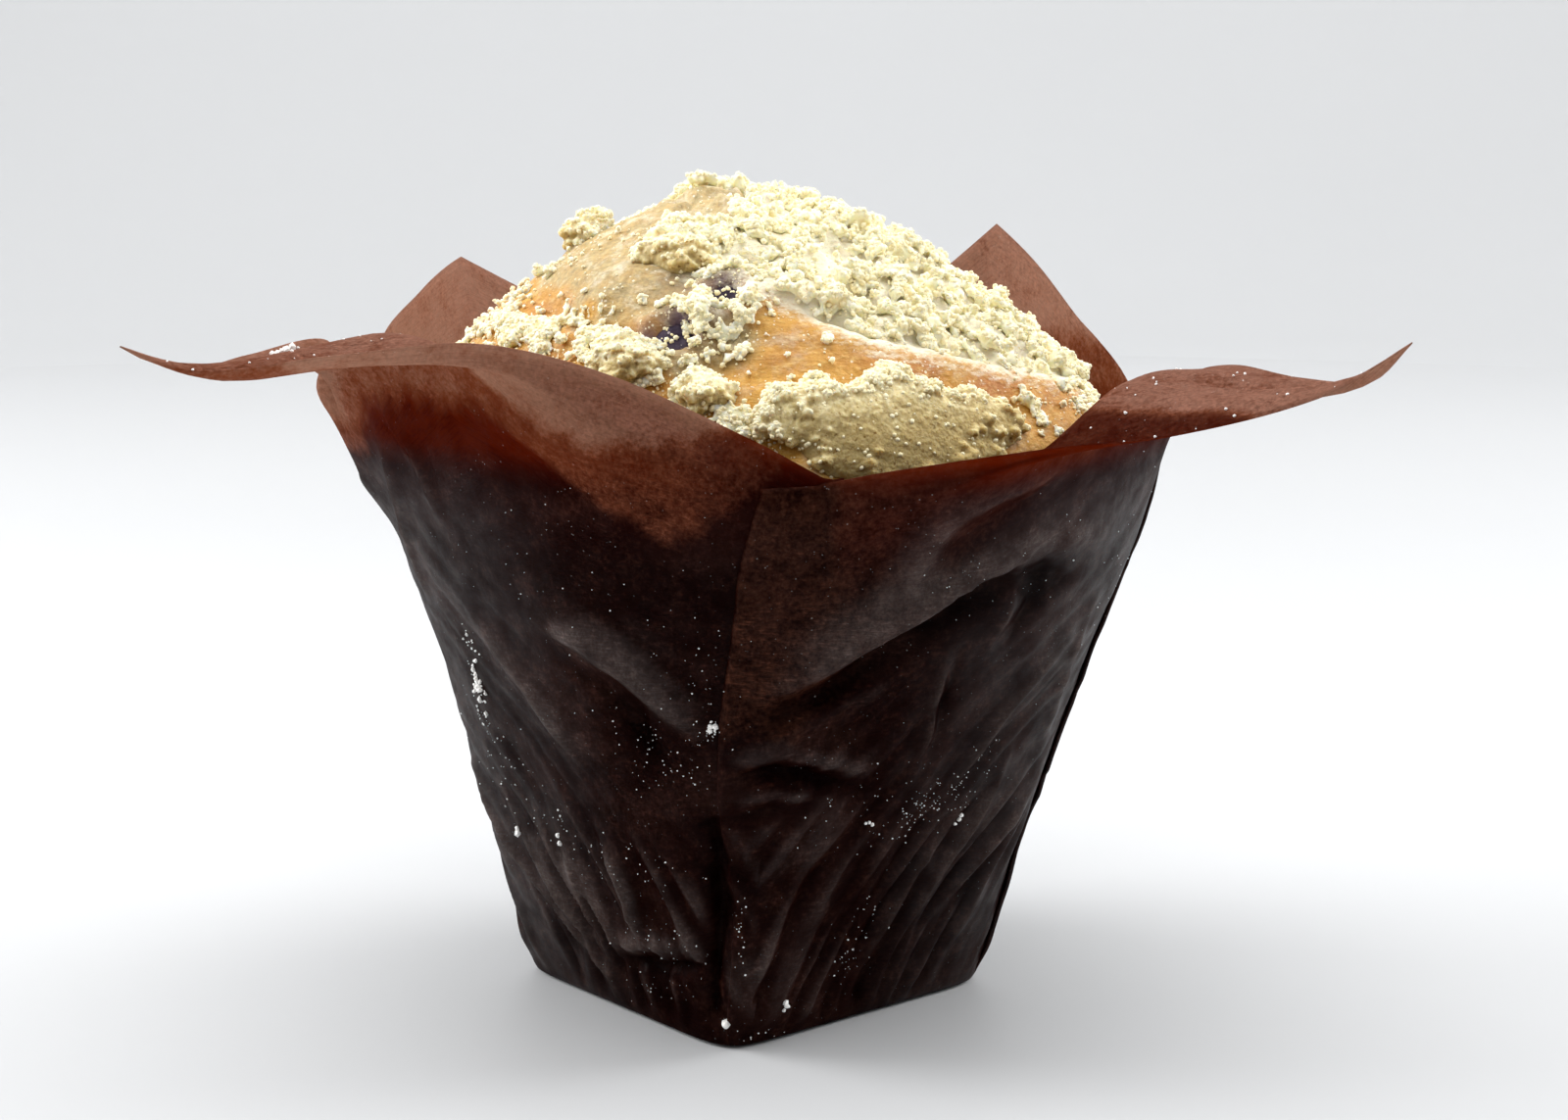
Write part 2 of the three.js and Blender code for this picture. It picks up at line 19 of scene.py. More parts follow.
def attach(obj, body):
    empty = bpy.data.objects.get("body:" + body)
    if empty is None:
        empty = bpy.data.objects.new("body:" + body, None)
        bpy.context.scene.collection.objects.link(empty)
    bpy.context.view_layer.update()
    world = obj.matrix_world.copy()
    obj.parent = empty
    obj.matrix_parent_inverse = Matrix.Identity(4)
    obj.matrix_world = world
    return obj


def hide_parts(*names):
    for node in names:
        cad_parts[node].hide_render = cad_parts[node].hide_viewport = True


bl_info = {
    "name": "Streusel Muffin",
    "version": (1, 0, 0),
    "blender": (4, 5, 0),
    "location": "View3D > Sidebar > Muffin",
    "description": "Makes a blueberry streusel muffin in a tulip wrap, around its packed model",
    "category": "Add Mesh",
}

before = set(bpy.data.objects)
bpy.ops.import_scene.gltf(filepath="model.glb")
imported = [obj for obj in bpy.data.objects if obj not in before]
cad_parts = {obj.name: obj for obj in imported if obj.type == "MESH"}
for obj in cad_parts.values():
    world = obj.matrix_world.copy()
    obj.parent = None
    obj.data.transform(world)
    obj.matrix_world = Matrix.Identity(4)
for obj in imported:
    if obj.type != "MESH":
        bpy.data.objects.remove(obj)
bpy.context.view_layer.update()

MM = 0.001
BODY = "root"

# ---- The wrap's form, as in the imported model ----

FOOT_CORNER_RADIUS = 24.6
WALL_SLOPE = 0.235
WALL_FLARE = 0.00125
FOOT_SQUARENESS = 0.76
MOUTH_SQUARENESS = 0.96
CORNER_AZIMUTH = -5
FOOT_TWIST = -4.5
MOUTH_TWIST = 9.2
CUP_LEAN = 2.1
PETAL_AXIS = 0.8
WALL_TOP = 50
MOUTH_HEIGHT = 60

# How far each pleat's fold lies left of the pleat's line, by height, and how much less on the free petals.
PLEAT_OVERLAPS = ((0, 0.5), (12, 1.2), (18, 1.8), (24, 3.8), (30, 5.3), (38, 6.5), (44, 6.9), (50, 7.5))
PETAL_SPREAD = 2.1
PLEAT_TUCK = 0.24  # how far the hidden fold goes the other way, as a share of the overlap
PLEAT_TOP_DROP = 0.26  # share of the petal's height that the folded corner is lower

BEND_STATIONS = (-1, -0.5, 0, 0.5, 1)
BEND_PULL = 0.45
TIP_CURL_WIDTH = 0.13

FRONT_TOP = (9.2, 42.6, 62.2)
RIGHT_TOP = (99.2, 42.5, 62.0)
BACK_TOP = (189.2, 42.3, 61.5)
LEFT_TOP = (279.2, 43.0, 61.5)

# The four petals in order from the front pleat: the sheet's edge up to the tip and down again, and the line
# where the petal bends. Each point is an azimuth, a radius and a height, on the bend also the paper's slope.
PETALS = (
    {
        "enter": (FRONT_TOP, (15.0, 45.2, 63.4), (23.2, 48.4, 64.4), (31.2, 53.2, 65.8), (37.2, 62.2, 67.4),
                  (43.0, 74.0, 71.5), (45.0, 81.3, 76.6)),
        "leave": ((45.0, 81.3, 76.6), (45.8, 77.0, 73.0), (49.0, 67.0, 72.0), (54.0, 57.3, 72.1),
                  (63.0, 49.5, 70.4), (81.0, 45.0, 66.3), RIGHT_TOP),
        "bend": ((8.9, 42.0, 57.5, 75), (29.0, 48.5, 63.5, 38), (45.0, 50.4, 70.8, 8), (61.0, 48.0, 69.0, 40),
                 (98.5, 42.0, 57.0, 75)),
        "slope": (74, 15, 0, 15, 72),
        "curl": 45,
    },
    {
        "enter": (RIGHT_TOP, (106.0, 42.4, 66.6), (114.5, 42.5, 69.8), (121.0, 42.5, 72.4),
                  (131.0, 43.2, 77.6), (141.0, 44.9, 82.1)),
        "leave": ((141.0, 44.9, 82.1), (149.0, 43.6, 76.8), (162.0, 43.4, 69.5), BACK_TOP),
        "bend": ((98.9, 42.4, 57.0, 78), (118.0, 42.4, 64.0, 86), (141.0, 43.6, 67.0, 82),
                 (162.0, 43.1, 63.0, 84), (188.9, 42.4, 57.0, 78)),
        "slope": (80, 84, 80, 84, 80),
        "curl": 0,
    },
    {
        "enter": (BACK_TOP, (205.0, 44.3, 68.5), (219.0, 46.6, 74.4), (229.0, 47.4, 78.4)),
        "leave": ((229.0, 47.4, 78.4), (244.5, 43.4, 75.0), (257.0, 42.8, 71.6), (268.0, 42.8, 66.5),
                  LEFT_TOP),
        "bend": ((188.9, 42.4, 57.0, 78), (209.0, 43.8, 64.0, 78), (229.0, 44.4, 66.0, 78),
                 (249.0, 42.9, 64.0, 82), (278.5, 42.4, 57.0, 74)),
        "slope": (80, 78, 78, 82, 76),
        "curl": 0,
    },
    {
        "enter": (LEFT_TOP, (284.5, 47.3, 67.5), (292.0, 47.2, 73.0), (302.0, 58.0, 72.9),
                  (311.5, 69.0, 73.2), (315.0, 78.7, 76.1)),
        "leave": ((315.0, 78.7, 76.1), (316.5, 72.3, 73.6), (322.0, 61.2, 74.6), (329.0, 49.9, 75.1),
                  (342.1, 43.6, 72.0), (361.2, 41.5, 65.4), (369.2, 42.6, 62.2)),
        "bend": ((278.5, 42.2, 57.0, 72), (294.0, 46.8, 68.5, 42), (314.0, 48.4, 75.2, 8),
                 (335.0, 46.0, 70.0, 70), (368.9, 42.0, 57.5, 76)),
        "slope": (70, 10, 0, 60, 76),
        "curl": 35,
    },
)

# ---- The wrap's creases ----

# Creases pressed into the cup: points as azimuth and height, how far each stands out, and how wide it is
# above and below its line. The two back panels are creased like the two front ones, half a turn on.
CREASES = (
    # right front panel
    (((49, 63.4), (35, 61.9), (28, 60.7), (24, 59.2), (22, 57), (20.6, 53.6), (19, 49.9)), 1.1, 2.6, 1.2),
    (((40, 60), (31, 58), (27, 55), (25, 51.5)), -0.7, 1.3, 1.3),
    (((56, 53), (45, 54.2), (40, 54.0), (31, 51.9), (23, 48.8), (14, 45.4), (4, 41.2)), 2.0, 3.0, 0.9),
    (((50, 50), (38, 50.2), (29, 48), (21, 45), (13, 41.8), (4, 38.6)), -1.7, 1.1, 2.2),
    (((22, 41.6), (13.7, 39.4), (6.5, 37.4), (1, 35.4), (-2.7, 33.5)), 0.8, 0.8, 1.4),
    (((39, 53.4), (41.5, 48.3), (40.3, 43.2)), 0.7, 0.9, 0.9),
    (((45, 53), (47, 47), (45, 43)), -0.6, 1.2, 1.2),
    (((30.7, 42.8), (31.4, 38.3), (33, 34), (32.5, 29)), 0.6, 0.7, 0.7),
    (((34, 43), (35, 38), (36, 33)), -0.6, 0.9, 0.9),
    (((62.2, 42), (56.4, 38.1), (52.7, 35.5), (50, 31), (44, 26)), 0.8, 1.2, 0.7),
    (((65.4, 47.5), (65.6, 41.7), (68.3, 36.5), (71.9, 28.1)), 0.6, 1.0, 1.0),
    (((60.2, 28.7), (59, 24.2), (55.5, 20.5), (53.6, 16.9), (50.8, 11.2)), 0.8, 1.0, 0.6),
    (((77.4, 21.9), (67.9, 20.1), (64.5, 17.7), (61.3, 13.9), (56.6, 11.7)), 0.6, 1.0, 0.7),
    (((44, 19.6), (50, 15.5), (48.8, 12.6), (42.7, 8.4)), 0.6, 0.9, 0.7),
    (((-4.5, 31.6), (1, 32.3), (6, 32), (11, 30.6), (18.2, 29.4)), -1.5, 0.45, 0.9),
    (((-3, 33.6), (4, 34.2), (12, 32.6), (20, 31)), 0.8, 1.2, 0.6),
    (((-6.8, 27), (-2.8, 27.3), (5, 28.2)), -1.3, 0.45, 0.8),
    (((-5, 29.2), (3, 29.8), (12, 28.6)), 0.6, 0.9, 0.5),
    # left front panel
    (((-57.5, 44.5), (-52.8, 41.1), (-47.7, 38.2), (-43.8, 34.2), (-39, 31)), 1.0, 2.2, 1.2),
    (((-38, 45.8), (-29.6, 44.7), (-21.9, 42), (-16.6, 39.1), (-10.5, 36)), 1.3, 3.2, 1.1),
    (((-36, 41.5), (-28, 40), (-22, 36), (-18, 32)), -0.8, 1.2, 1.6),
    (((-25, 41), (-21, 38), (-20.7, 35.5), (-18.7, 33)), -0.6, 0.9, 0.9),
    (((-86.5, 25), (-85.4, 19.3), (-78, 15.1), (-66, 9.6), (-55, 5.6), (-43, 3.4)), 0.9, 0.9, 0.6),
    (((-75, 24), (-72, 18.6), (-68, 14.1), (-60, 10.3), (-46.2, 6.7)), 0.9, 0.9, 0.6),
    (((-64, 22), (-60, 17), (-54, 12.5), (-45, 9)), 0.8, 0.9, 0.6),
    (((-55.7, 19.5), (-52.5, 15.6), (-48.6, 13.2), (-43.7, 10.8), (-41.8, 6.8)), 0.9, 0.9, 0.6),
    (((-38.4, 20), (-33.3, 18), (-30.8, 15.2), (-31.9, 10.4)), 0.8, 0.8, 0.8),
    (((-42, 6.6), (-34, 7.4), (-26, 7.8), (-14.8, 9.2), (-9, 9.8)), -1.5, 0.5, 0.9),
    (((-40, 8.9), (-28, 9.9), (-16, 11.2)), 0.8, 1.3, 0.5),
    (((-8.6, 26), (-7.6, 22), (-7.0, 17.1), (-8, 10), (-9, 4)), -1.9, 0.8, 0.8),
    # the free petals, where they bend outwards
    (((-56.4, 64.6), (-48.9, 66.2), (-39.6, 67), (-30.2, 66.4), (-24, 65), (-20, 61)), 0.7, 1.6, 1.2),
    (((-58, 68), (-57.2, 64.8), (-55, 62.2), (-56, 56)), 1.0, 0.9, 0.9),
    (((-60.8, 66.6), (-63.4, 62.4), (-66.2, 58.6), (-71.8, 53), (-76, 44.6)), 0.9, 1.0, 1.0),
)

# How far butter has soaked into each petal. Rows of a side from -1 (the pleat before) to 1 (the pleat
# after), the height up to which the paper is soaked, the height from which it is dry, and how oiled it is
# between them.
GREASE_LINES = (
    ((-1.3, 35, 74, 0.88), (-0.95, 36, 74, 0.88), (-0.82, 40, 74, 0.93), (-0.62, 48, 74, 0.97),
     (-0.45, 56, 72, 0.95), (-0.2, 63, 69, 0.88), (0.1, 66, 71, 0.7), (0.5, 66, 71.5, 0.7),
     (1.2, 62, 66, 0.7)),
    ((-1.3, 62, 71, 0.5), (-0.7, 64, 71, 0.45), (0, 62, 69, 0.4), (0.6, 60, 66, 0.4), (1.2, 60, 64, 0.4)),
    ((-1.3, 60, 64, 0.4), (-0.6, 60, 65, 0.4), (0, 60, 65, 0.4), (0.6, 60, 65, 0.4), (1.2, 60, 66, 0.4)),
    ((-1.3, 58, 62, 0.5), (-0.62, 62, 65, 0.5), (-0.42, 67.2, 70, 0.4), (-0.24, 68.6, 73, 0.4),
     (-0.02, 68.8, 74, 0.4), (0.12, 68.6, 74.5, 0.42), (0.24, 67.4, 72.5, 0.48), (0.32, 65.2, 70.0, 0.55),
     (0.42, 60.6, 67.6, 0.62), (0.6, 55, 65.8, 0.68), (0.72, 57, 65.2, 0.66), (0.82, 60, 66, 0.82),
     (1.2, 74, 80, 0.93)),
)

# ---- The crown's form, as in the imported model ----

RIM_HEIGHT = 55.5
RIM_INSET = 0.95
CROWN_TOP = 86.8
CROWN_TOP_X = -2.0
CROWN_ROUNDNESS = 1.5
CROWN_SIDE_SLOPE = 20
SWELLING_START = 0.2
# azimuth, level, width as a share of the crown, and how far it stands out
SWELLINGS = (
    (-31, 0.62, 0.3, 0.9),
    (12, 0.5, 0.22, 1.0),
    (75, 0.5, 0.35, 0.8),
    (160, 0.45, 0.4, 1.2),
    (238, 0.5, 0.35, 0.9),
    (-8, 0.42, 0.14, -1.3),
)

# Folds in the crust: points as azimuth and level, how far each stands out, and its half width.
CRUST_FOLDS = (
    (((-30, 0.47), (-25, 0.462), (-21, 0.458), (-18, 0.462)), -1.7, 0.9),
    (((-62, 0.5), (-50, 0.5), (-40, 0.485), (-30, 0.475)), -0.8, 1.5),
    (((-66, 0.6), (-50, 0.6), (-38, 0.57), (-28, 0.54), (-22, 0.52)), 1.2, 4.2),
    (((3, 0.47), (16, 0.455), (27, 0.43), (38, 0.405), (50, 0.365), (66, 0.325)), 0.8, 3.0),
    (((5, 0.55), (16, 0.52), (27, 0.475), (46, 0.43), (60, 0.385), (78, 0.34)), -0.9, 1.5),
    (((150, 0.62), (175, 0.55), (200, 0.6), (225, 0.56)), -1.2, 1.8),
    (((110, 0.4), (140, 0.36), (170, 0.4)), 0.7, 2.6),
)
CROWN_RADIUS = 41.5
CROWN_ARC = 52.0  # length of the crown's profile from rim to top
BERRY_RIM = 1.2  # how far the crust stands up round a berry
# Level from which a thick layer of crumbs covers the crown, by azimuth.
THICK_FROM = (
    (-180, 0.42), (-150, 0.36), (-120, 0.62), (-100, 0.84), (-60, 0.86), (-38, 0.72), (-28, 0.665),
    (-18, 0.63), (-8, 0.63), (-1, 0.62), (3, 0.575), (12, 0.55), (18, 0.5), (25, 0.465), (46, 0.425),
    (56, 0.39), (69, 0.36), (76, 0.335), (95, 0.28), (130, 0.22), (160, 0.32), (180, 0.42),
)
# Patches of crumbs: azimuth, level, half width and half height in millimetres, and how dense.
CRUMB_PATCHES = (
    (-8.6, 0.52, 1.3, 1.3, 1.3), (0.5, 0.55, 1.3, 2.0, 1.3), (-4, 0.49, 3.0, 0.9, 1.3),
    (-3.5, 0.6, 3.0, 0.8, 1.3), (-13, 0.525, 3.4, 0.9, 1.2), (-11, 0.425, 3.4, 0.9, 1.2),
    (-20, 0.445, 1.4, 1.4, 1.0), (-57, 0.39, 7.0, 1.3, 1.2), (-47, 0.43, 5.0, 1.6, 1.2),
    (-38, 0.37, 5.0, 1.3, 1.2), (-33, 0.44, 3.4, 1.6, 1.2), (-17, 0.385, 4.0, 1.3, 1.2),
    (-12, 0.3, 5.0, 1.3, 1.2), (-2, 0.31, 3.0, 1.5, 1.2), (5, 0.23, 5.0, 1.2, 1.0),
    (50, 0.25, 2.0, 2.4, 1.0), (72, 0.24, 3.4, 2.4, 1.2), (62, 0.36, 2.6, 1.2, 0.9),
    (-72, 0.36, 6.0, 1.6, 1.1), (-53, 0.45, 5.0, 2.2, 1.0), (-42, 0.47, 4.5, 2.4, 1.0),
    (-64, 0.42, 6.0, 1.8, 0.9), (-86, 0.47, 4.5, 3.0, 1.0), (-66, 0.61, 3.2, 1.4, 0.9),
    (-17, 0.54, 0.9, 2.6, 1.0), (-5, 0.625, 2.2, 0.8, 1.0), (4.5, 0.6, 1.5, 3.2, 1.0),
    (-5, 0.505, 3.4, 1.0, 1.0), (-3, 0.335, 4.0, 1.6, 0.9), (0, 0.27, 6.0, 1.6, 1.0),
    (-24, 0.43, 4.6, 2.2, 0.8), (-9, 0.43, 3.0, 1.4, 0.5), (55, 0.295, 1.6, 2.6, 0.9),
    (66, 0.29, 2.4, 1.8, 0.7), (78, 0.28, 4.0, 3.0, 1.0), (-78, 0.7, 4.0, 1.8, 0.8),
    (-53, 0.69, 3.0, 1.4, 0.8), (-35, 0.35, 6.0, 1.4, 0.8), (-15, 0.33, 5.0, 1.4, 0.8),
    (-100, 0.35, 8.0, 4.0, 0.9), (-130, 0.3, 7.0, 3.0, 0.7), (215, 0.35, 9.0, 4.0, 0.8),
    (180, 0.25, 8.0, 3.0, 0.7), (14, 0.44, 0.9, 0.9, 0.8), (0, 0.45, 1.4, 1.2, 0.6),
    (-4, 0.6, 2.4, 1.2, 1.0), (1, 0.55, 1.3, 2.4, 1.0), (-4, 0.49, 2.6, 0.9, 1.0),
    (-10, 0.55, 1.2, 1.6, 0.9), (-15, 0.52, 2.4, 0.8, 0.9), (-14, 0.43, 3.0, 0.9, 1.0),
    (-8.5, 0.47, 1.2, 2.0, 0.9), (-21, 0.49, 1.0, 1.0, 0.6), (-40, 0.42, 5.0, 1.6, 1.0),
    (8, 0.5, 1.2, 1.2, 0.5), (30, 0.45, 1.2, 0.8, 0.5), (42, 0.42, 1.0, 0.8, 0.6),
    (60, 0.33, 2.0, 1.0, 0.6), (-5, 0.43, 3.0, 2.0, 0.9), (-3, 0.4, 3.0, 1.6, 0.9),
    (-2, 0.46, 2.4, 1.2, 0.6), (-17, 0.52, 1.6, 2.0, 0.9), (-14, 0.43, 3.0, 1.8, 0.9),
    (-9, 0.44, 2.4, 2.0, 0.9), (-10, 0.5, 1.6, 1.4, 0.9), (-7, 0.58, 2.0, 1.0, 0.9),
)
# Heaps of crumbs, given like the patches.
CRUMB_HEAPS = (
    (-70, 0.455, 4.0, 1.9, 1.0), (-60, 0.45, 5.0, 1.9, 1.0), (-50, 0.45, 5.0, 1.9, 1.0),
    (-41, 0.445, 4.0, 1.8, 1.0), (-34, 0.44, 3.4, 1.7, 1.0), (-29, 0.425, 2.4, 1.6, 0.9),
    (-17, 0.38, 2.4, 1.3, 0.9), (-12, 0.33, 3.0, 1.4, 0.9), (-3, 0.33, 2.6, 1.6, 0.9),
    (73, 0.27, 3.0, 2.0, 0.6), (-6, 0.42, 3.0, 1.8, 0.7), (-1, 0.56, 1.6, 1.8, 0.7),
    (-13, 0.43, 2.6, 1.4, 0.7), (-9, 0.485, 1.4, 1.2, 0.7), (-95, 0.4, 7.0, 3.0, 0.9),
    (-130, 0.36, 6.0, 3.0, 0.8), (215, 0.38, 7.0, 3.0, 0.8),
)
# Where berries show between the crumbs.
BARE_BERRIES = ((-4.5, 0.55, 1.1, 1.0, 1.0), (-15.5, 0.475, 2.2, 0.9, 1.0), (-20, 0.462, 1.4, 0.6, 1.0))
# Where the crust has a floury skin instead of a golden one, and golden patches in it.
FLOURY_PATCHES = (
    (-45, 0.64, 20.0, 7.0, 1.6), (-90, 0.75, 14.0, 7.0, 1.4), (-30, 0.55, 12.0, 4.0, 1.5),
    (0, 0.92, 16.0, 9.0, 1.6), (-40, 0.8, 14.0, 6.0, 1.5), (-10, 0.41, 4.0, 2.4, 1.0),
    (-25, 0.42, 6.0, 2.0, 1.0), (200, 0.7, 16.0, 8.0, 1.2), (-8, 0.6, 6.0, 3.0, 1.3),
    (-5, 0.46, 5.0, 3.0, 1.2), (-12, 0.44, 4.0, 2.6, 1.1),
)
GOLDEN_PATCHES = (
    (-57, 0.525, 5.0, 1.3, 0.85), (-38, 0.505, 1.6, 0.9, 0.8), (-80, 0.5, 3.4, 2.4, 1.0),
    (-70, 0.42, 4.5, 1.2, 1.0), (-61, 0.585, 1.8, 0.8, 0.6), (-80, 0.33, 6.0, 2.0, 1.0),
)
# Where the golden crust is browner.
BROWN_PATCHES = (
    (22, 0.415, 5.0, 1.2, 0.7), (34, 0.385, 6.0, 1.6, 1.0), (50, 0.345, 6.0, 1.8, 1.0),
    (64, 0.3, 6.0, 2.2, 1.0), (-60, 0.51, 5.0, 1.0, 0.8), (-80, 0.46, 4.0, 1.6, 0.9),
    (-70, 0.34, 8.0, 1.4, 1.0), (-14, 0.4, 3.0, 1.0, 0.6), (5, 0.42, 2.0, 1.0, 0.6),
    (110, 0.3, 10.0, 3.0, 0.8), (200, 0.3, 14.0, 3.0, 0.9), (250, 0.35, 10.0, 3.0, 0.9),
)
# Juice round the berries.
JUICE_PATCHES = (
    (-4, 0.545, 3.0, 2.6, 1.0), (-13, 0.49, 2.8, 2.3, 1.0), (-21, 0.462, 2.6, 1.1, 1.0),
    (-13, 0.57, 3.4, 2.4, 0.35), (-1, 0.76, 0.5, 0.4, 0.9),
)

# The streusel lumps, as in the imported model: azimuth, level, half width, half height, thickness.
CLUMPS = {
    "streusel_front_slab": (23, 0.28, 13.8, 6.0, 3.8),
    "streusel_front_left": (-24, 0.41, 3.9, 3.2, 3.2),
    "streusel_front_small": (-8, 0.365, 3.0, 2.5, 3.0),
    "streusel_top_left": (-96, 0.67, 3.2, 2.8, 3.2),
    "streusel_top_front": (-21, 0.645, 4.2, 3.0, 2.6),
    "streusel_back": (196, 0.5, 6.0, 4.2, 3.4),
}
# The blueberries: azimuth, level, radius, and how far each stands out of the crust.
BERRIES = {
    "blueberry_upper": (-4, 0.545, 3.1, 0.9),
    "blueberry_lower": (-14.5, 0.47, 3.2, 0.8),
}
BERRY_FLATNESS = 0.88


# ---- Settings ----


class WrapSettings(bpy.types.PropertyGroup):
    thickness: FloatProperty(name="Paper thickness", description="Thickness of the sheet", default=0.14 * MM,
                             unit="LENGTH")
    layer_gap: FloatProperty(name="Layer distance", description="Distance between the pleat's layers",
                             default=0.34 * MM, unit="LENGTH")
    crumple: FloatProperty(name="Crumple", description="Height of the small creases", default=0.75 * MM,
                           unit="LENGTH")
    dry: FloatVectorProperty(name="Dry paper", description="Colour where the paper is dry", subtype="COLOR",
                             default=(0.178, 0.083, 0.058))
    oiled: FloatVectorProperty(name="Oiled paper", description="Colour where a little butter has soaked in",
                               subtype="COLOR", default=(0.09, 0.031, 0.0165))
    soaked: FloatVectorProperty(name="Soaked paper", description="Colour where butter has soaked in fully",
                                subtype="COLOR", default=(0.0080, 0.0016, 0.0012))
    dry_glow: FloatVectorProperty(name="Light through dry paper",
                                  description="Tint of each side for light that shines through",
                                  subtype="COLOR", default=(0.82, 0.62, 0.51))
    oiled_glow: FloatVectorProperty(name="Light through oiled paper",
                                    description="Tint of each side for light through a little butter",
                                    subtype="COLOR", default=(0.60, 0.29, 0.165))
    soaked_glow: FloatVectorProperty(name="Light through soaked paper",
                                     description="Tint of each side for light through soaked paper",
                                     subtype="COLOR", default=(0.53, 0.145, 0.022))


class CrownSettings(bpy.types.PropertyGroup):
    golden: FloatVectorProperty(name="Golden crust", description="Colour of the baked crust", subtype="COLOR",
                                default=(0.62, 0.33, 0.045))
    brown: FloatVectorProperty(name="Browned crust", description="Colour where the crust is browner",
                               subtype="COLOR", default=(0.43, 0.155, 0.016))
    floury: FloatVectorProperty(name="Floury crust", description="Colour of the pale crust", subtype="COLOR",
                                default=(0.415, 0.312, 0.14))
    juice: FloatVectorProperty(name="Berry juice", description="Colour of the stains round the berries",
                               subtype="COLOR", default=(0.055, 0.03, 0.07))


class StreuselSettings(bpy.types.PropertyGroup):
    pale: FloatVectorProperty(name="Pale streusel", description="Lightest colour of the streusel",
                              subtype="COLOR", default=(0.985, 0.94, 0.715))
    buttery: FloatVectorProperty(name="Buttery streusel", description="Yellower colour of the streusel",
                                 subtype="COLOR", default=(0.90, 0.75, 0.375))
    # Painted shade: this darker colour fills the streusel where its tone is low, in crevices, on undersides
    # and at the slab's lower edge, and partly at random.
    browned: FloatVectorProperty(name="Browned streusel", description="Colour of the streusel's undersides",
                                 subtype="COLOR", default=(0.49, 0.365, 0.15))
    coarse: IntProperty(name="Coarse crumbs", description="Number of coarse crumbs", default=380, min=0)
    medium: IntProperty(name="Medium crumbs", description="Number of medium crumbs", default=4200, min=0)
    small: IntProperty(name="Small crumbs", description="Number of small crumbs", default=9400, min=0)
    on_lumps: FloatProperty(name="Grains on lumps", description="Number of grains for each square millimetre",
                            default=20.0, min=0.0)
    fine: IntProperty(name="Fine grains", description="Number of fine grains", default=9800, min=0)


class BerrySettings(bpy.types.PropertyGroup):
    skin: FloatVectorProperty(name="Berry skin", description="Colour of the berries", subtype="COLOR",
                              default=(0.014, 0.004, 0.02))
    bloom: FloatVectorProperty(name="Bloom", description="Colour of the waxy bloom", subtype="COLOR",
                               default=(0.055, 0.036, 0.058))


class StageSettings(bpy.types.PropertyGroup):
    floor: FloatVectorProperty(name="Floor", description="Colour of the floor", subtype="COLOR",
                               default=(0.54, 0.547, 0.555))
    camera_distance: FloatProperty(name="Camera distance", description="From the camera to the muffin",
                                   default=0.3, unit="LENGTH")
    camera_pitch: FloatProperty(name="Camera pitch", description="How far the camera looks down",
                                default=math.radians(10), subtype="ANGLE")


# ---- Numbers ----


def lerp(a, b, t):
    return a + (b - a) * t


def clamp01(x):
    return np.clip(x, 0.0, 1.0)


def smooth01(x):
    t = clamp01(x)
    return t * t * (3 - 2 * t)


def signed(angle):
    """The same angle between -180 and 180 degrees."""
    return (angle + 180) % 360 - 180


def joined_axes(x, y, z):
    return np.stack(np.broadcast_arrays(x, y, z), axis=-1)


def from_cylinder(azimuth, radius, height, axis=0.0):
    """Points from azimuths, radii and heights round an upright line at x = axis."""
    angle = np.radians(azimuth)
    return joined_axes(axis + radius * np.sin(angle), -radius * np.cos(angle), height)


def outward(azimuth, slope):
    """Directions that point outwards at an azimuth, raised by a slope."""
    angle = np.radians(azimuth)
    rise = np.radians(slope)
    return joined_axes(np.cos(rise) * np.sin(angle), -np.cos(rise) * np.cos(angle), np.sin(rise))


def hermite(a, b, tangent_a, tangent_b, t):
    t2 = t * t
    t3 = t2 * t
    return ((2 * t3 - 3 * t2 + 1) * a + (t3 - 2 * t2 + t) * tangent_a + (3 * t2 - 2 * t3) * b
            + (t3 - t2) * tangent_b)


def through(rows, knots, t):
    """A smooth curve through rows of numbers, at a share t of its way by knots."""
    last = len(rows) - 1
    k = 0
    while k < last - 1 and t > knots[k + 1]:
        k += 1

    def slope_at(i):
        before = max(i - 1, 0)
        after = min(i + 1, last)
        return (rows[after] - rows[before]) / (knots[after] - knots[before])

    span = knots[k + 1] - knots[k]
    return hermite(rows[k], rows[k + 1], slope_at(k) * span, slope_at(k + 1) * span, (t - knots[k]) / span)


def chord_knots(rows):
    points = from_cylinder(rows[:, 0], rows[:, 1], rows[:, 2])
    lengths = np.concatenate([[0], np.cumsum(np.linalg.norm(np.diff(points, axis=0), axis=1))])
    return lengths / lengths[-1]


def line_distance(points, line):
    """How far each point is from a line of points, the share of the line's length where it is nearest, and in
    a plane also whether it lies above the line."""
    best = np.full(len(points), np.inf)
    share = np.zeros(len(points))
    above = np.zeros(len(points), bool)
    lengths = np.linalg.norm(np.diff(line, axis=0), axis=1)
    total = lengths.sum()
    passed = 0.0
    for start, end, length in zip(line[:-1], line[1:], lengths):
        way = end - start
        offset = points - start
        t = clamp01(offset @ way / (way @ way))
        away = np.linalg.norm(offset - t[:, None] * way, axis=1)
        nearer = away < best
        best = np.where(nearer, away, best)
        share = np.where(nearer, (passed + t * length) / total, share)
        above = np.where(nearer, (way[0] * offset[:, 1] - way[1] * offset[:, 0]) * np.sign(way[0]) > 0, above)
        passed += length
    return best, share, above


def noise_at(points, size, seed):
    """Smooth noise from about -1 to 1 with features of a size, at each of the points."""
    shifted = points / size + np.array([17.3 * seed, -9.1 * seed, 5.7 * seed])
    return np.array([noise.noise(Vector(p)) for p in shifted])


def layered_noise(points, layers):
    """Noise summed from layers, each given as its height, the size of its features and its seed."""
    return sum(height * noise_at(points, size, seed) for height, size, seed in layers)


